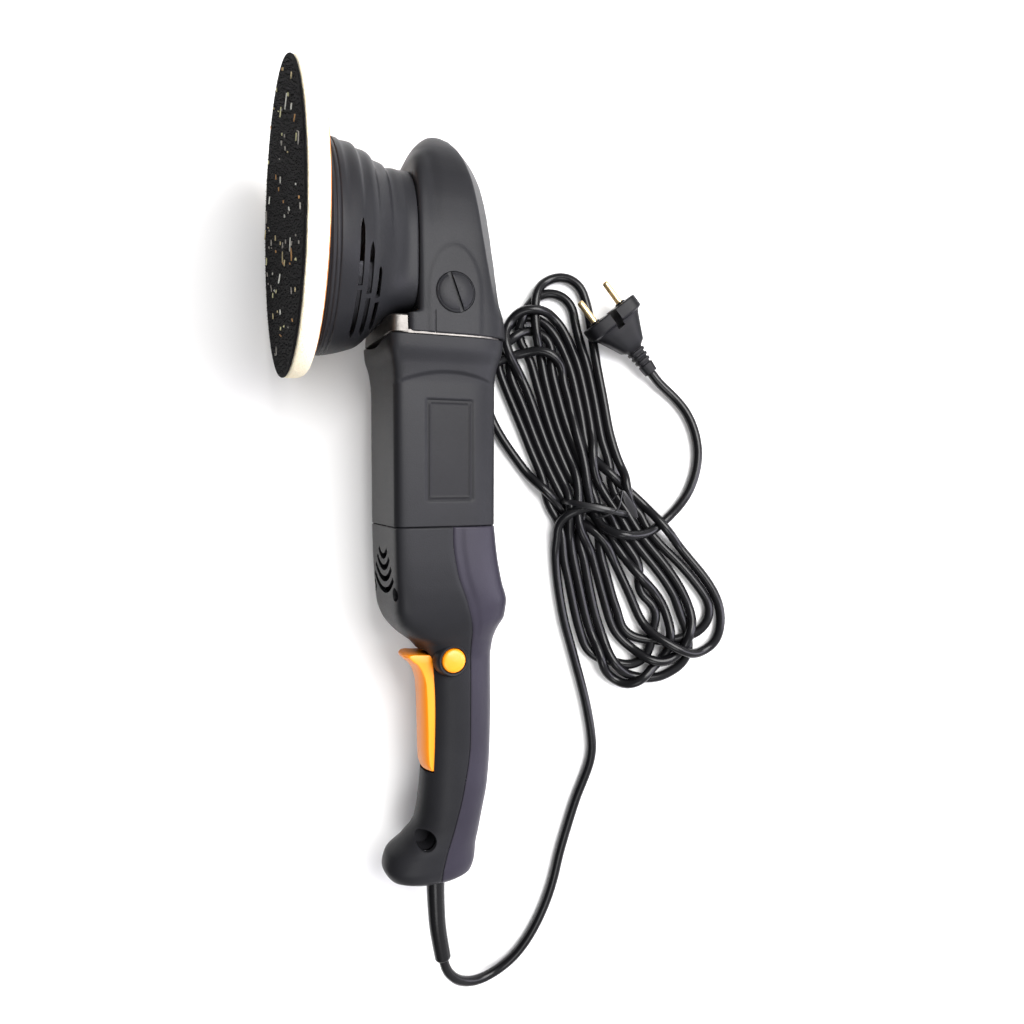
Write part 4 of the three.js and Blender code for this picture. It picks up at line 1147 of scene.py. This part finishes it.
def build_sleeve():
    route = resample([Vector((x, y, 0)) for x, y in SLEEVE_ROUTE], 0.7)
    total = len(route) - 1
    radii = []
    for i in range(total + 1):
        t = i / total
        radius = 5.4 - 0.75 * t
        radii.append(radius)
    radii[-1] = 3.9
    radii[-2] = 4.3
    route[-1] = route[-2] + (route[-1] - route[-2]) * 0.35
    piece = make_piece("cord_sleeve", *solid(tube_rows(route, radii, 40)), "tool")
    sharpen(piece, 60)
    return finish_piece(piece, "cord_rubber", "strain_relief")


def build_plug():
    stations = [(-PLUG_LENGTH, 3.9, 3.9, 3), (-26, 5.6, 5.4, 4), (-24.6, 7.6, 6.4, 4), (-22, 8.8, 7.2, 4),
                (-14, 12.6, 8.6, 4), (-8.4, 15.8, 9.6, 4), (-7.8, 16.9, 11.2, 5), (-7.2, 17.5, 12, 5),
                (-0.6, 17.5, 12, 5), (0, 17.0, 11.6, 5)]
    curves = [Curve([(s[0], s[k]) for s in stations]) for k in (1, 2, 3)]
    ys = [-PLUG_LENGTH + 0.5 * i for i in range(2 * PLUG_LENGTH + 1)]
    rows = []
    for y in ys:
        wide, tall, power = (c(y) for c in curves)
        grooves = 0
        if -39.5 < y < -26:
            phase = ((y + 39.5) / 3.3) % 1
            grooves = 1.1 * smooth(0.5, 0.6, phase) * smooth(1.0, 0.9, phase)
        row = []
        for a in ring(72):
            c, s = cos(a), sin(a)
            far = (abs(c / wide) ** power + abs(s / tall) ** power) ** (-1 / power)
            far -= grooves
            row.append((c * far, y, s * far))
        rows.append(row)
    piece = make_piece("plug_moulding", *solid(rows), "tool", PLUG)
    hole = [(0, -5), (2.3, -5), (2.3, 3), (0, 3)]
    sockets = [turned(hole, 24, "y", (side * PIN_HALF, 0, 0)) for side in (-1, 1)]
    notch = box_shape(-2.3, 2.3, -11, 3, -20, 20)
    cut(piece, [*sockets, notch], PLUG)
    soften_edges(piece, 0.35, 2, 45)
    finish_piece(piece, "plug_plastic", "plug_body")
    pins = []
    for side, word in ((-1, "a"), (1, "b")):
        profile = [(0, -4.7), (2, -4.7), (2, 14.2), (1.85, 15.1), (1.4, 15.75), (0.7, 15.98), (0, 16)]
        spot = (side * PIN_HALF, 0, 0)
        pin = make_piece(f"contact_pin_{word}", *turned(profile, 36, "y", spot), "tool", PLUG)
        sharpen(pin, 50)
        finish_piece(pin, "pin_brass", f"plug_pin_{word}")
        collar = make_piece(f"pin_collar_{word}", *turned(
            [(0, -0.1), (3.2, -0.1), (3.2, 0.7), (2.7, 1.1), (2.05, 1.1), (2.05, 0.2), (0, 0.2)],
            32, "y", spot), "tool", PLUG)
        sharpen(collar, 35)
        finish_piece(collar, "plug_plastic")
        pins += [pin, collar]
    return [piece, *pins]


TIE_TONGUE = [(103, -134, 23.5), (108.9, -128.8, 25), (112, -134, 24), (118.5, -144.6, 19.5)]
TIE_WIRE = [(94, -144.5, 21.5), (100, -143, 24.5), (106.6, -139, 24.8), (109, -129, 25.2)]


def build_tie():
    """A flat twist tie round the waist, with its twisted end standing out."""
    turn = radians(-12)
    rows = []
    count = 60
    for i in range(count + 1):
        a = pi * (1.08 * i / count) - 0.13
        wide, tall = 20.5, 21.4
        across = wide * cos(a)
        height = max(tall * max(sin(a), 0) ** 0.7 + 0.6, 0.6)
        row = []
        for along, lift in ((-1.7, 0), (-0.5, 0.55), (0.5, 0.55), (1.7, 0), (0.5, -0.4), (-0.5, -0.4)):
            x = across * cos(turn) - along * sin(turn)
            y = across * sin(turn) + along * cos(turn)
            scale = 1 + lift / 20
            row.append((95 + x * scale, -138.5 + y, max((height + lift), 0.3)))
        rows.append(row)
    piece = make_piece("twist_tie", *solid(rows), "tool", TABLE)
    tongue = resample([Vector(p) for p in TIE_TONGUE], 1)
    rows = []
    for i, spot in enumerate(tongue):
        t = i / (len(tongue) - 1)
        way = (tongue[min(i + 1, len(tongue) - 1)] - tongue[max(i - 1, 0)]).normalized()
        half = 0.4 + 1.7 * smooth(0.2, 0.6, t) * smooth(1.1, 0.8, t)
        aside = Vector((-way.y, way.x, 0)).normalized() * half
        rows.append([tuple(spot + aside * a + Vector((0, 0, b)))
                     for a, b in ((-1, 0), (0, 0.35), (1, 0), (0, -0.35))])
    wire = resample([Vector(p) for p in TIE_WIRE], 1)
    wire_skin = solid(tube_rows(wire, [0.55] * len(wire), 8))
    tails = [make_piece("tie_tongue", *solid(rows), "tool", TABLE),
             make_piece("tie_wire", *wire_skin, "tool", TABLE)]
    for part in (piece, *tails):
        sharpen(part, 50)
        finish_piece(part, "tie_plastic")
    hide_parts("cord_tie")
    return [piece, *tails]


# Build everything
cord, cord_length, cord_start = build_cord()
paint(cord, "cord_jacket")
plug_pieces = build_plug()
tie_pieces = build_tie()
build_hook_face()
build_lint()
build_foam()
build_plate_shell()
build_shroud()
build_head_cover()
build_gear_case()
build_motor_housing()
build_front_shell()
build_back_shell()
build_recess_cups()
build_trigger()
build_button()
build_sleeve()
for side, word in ((1, "left"), (-1, "right")):
    build_side_cap(side, word)
    build_label(side, word)


# Floor, lights and world
FLOOR_HALF = 4
FLOOR_LEVEL = -0.0005


def build_stage():
    floor_material, nodes, links, base = shader("floor", (0.93, 0.93, 0.93), 0.55)
    grain = noise_node(nodes, links, 6, 2)
    tones = [(0.3, (0.925, 0.925, 0.93)), (0.7, (0.945, 0.945, 0.94))]
    tint = ramp_node(nodes, links, grain.outputs["Fac"], tones)
    links.new(tint.outputs["Color"], base.inputs["Base Color"])
    mesh = bpy.data.meshes.new("floor")
    half = FLOOR_HALF
    corners = [(x, y, FLOOR_LEVEL) for x, y in ((-half, -half), (half, -half), (half, half), (-half, half))]
    mesh.from_pydata(corners, [], [(0, 1, 2, 3)])
    floor = bpy.data.objects.new("floor", mesh)
    bpy.context.collection.objects.link(floor)
    mesh.materials.append(floor_material)


def area_light(name, place, target, size, power, color=(1, 1, 1)):
    data = bpy.data.lights.new(name, "AREA")
    data.shape = "RECTANGLE"
    data.size, data.size_y = size
    data.energy = power
    data.color = color
    light = bpy.data.objects.new(name, data)
    light.location = place
    light.rotation_euler = (Vector(target) - Vector(place)).to_track_quat("-Z", "Y").to_euler()
    bpy.context.collection.objects.link(light)


def build_world():
    """White all round, dimmer towards the plate's side of the table."""
    world = bpy.data.worlds.new("world")
    world.use_nodes = True
    nodes, links = world.node_tree.nodes, world.node_tree.links
    direction = nodes.new("ShaderNodeTexCoord")
    split = nodes.new("ShaderNodeSeparateXYZ")
    links.new(direction.outputs["Generated"], split.inputs["Vector"])
    side = nodes.new("ShaderNodeMapRange")
    side.inputs["From Min"].default_value = -0.9
    side.inputs["From Max"].default_value = 0.9
    side.inputs["To Min"].default_value = 0.04
    side.inputs["To Max"].default_value = 1.1
    links.new(split.outputs["X"], side.inputs["Value"])
    background = nodes["Background"]
    background.inputs["Color"].default_value = (1, 0.99, 1, 1)
    links.new(side.outputs["Result"], background.inputs["Strength"])
    return world


build_stage()
area_light("key", (0.6, 0.35, 0.9), (0.05, 0, 0), (0.7, 0.7), 20, (1.0, 0.99, 0.98))
area_light("side", (1.0, -0.1, 0.45), (0, 0, 0.05), (0.35, 1.2), 9, (0.88, 0.85, 1.0))
area_light("fill", (0.1, -0.7, 1.1), (0, 0, 0), (0.5, 0.5), 4)
world = build_world()
bpy.context.scene.world = world
bpy.context.scene.view_settings.view_transform = "Standard"
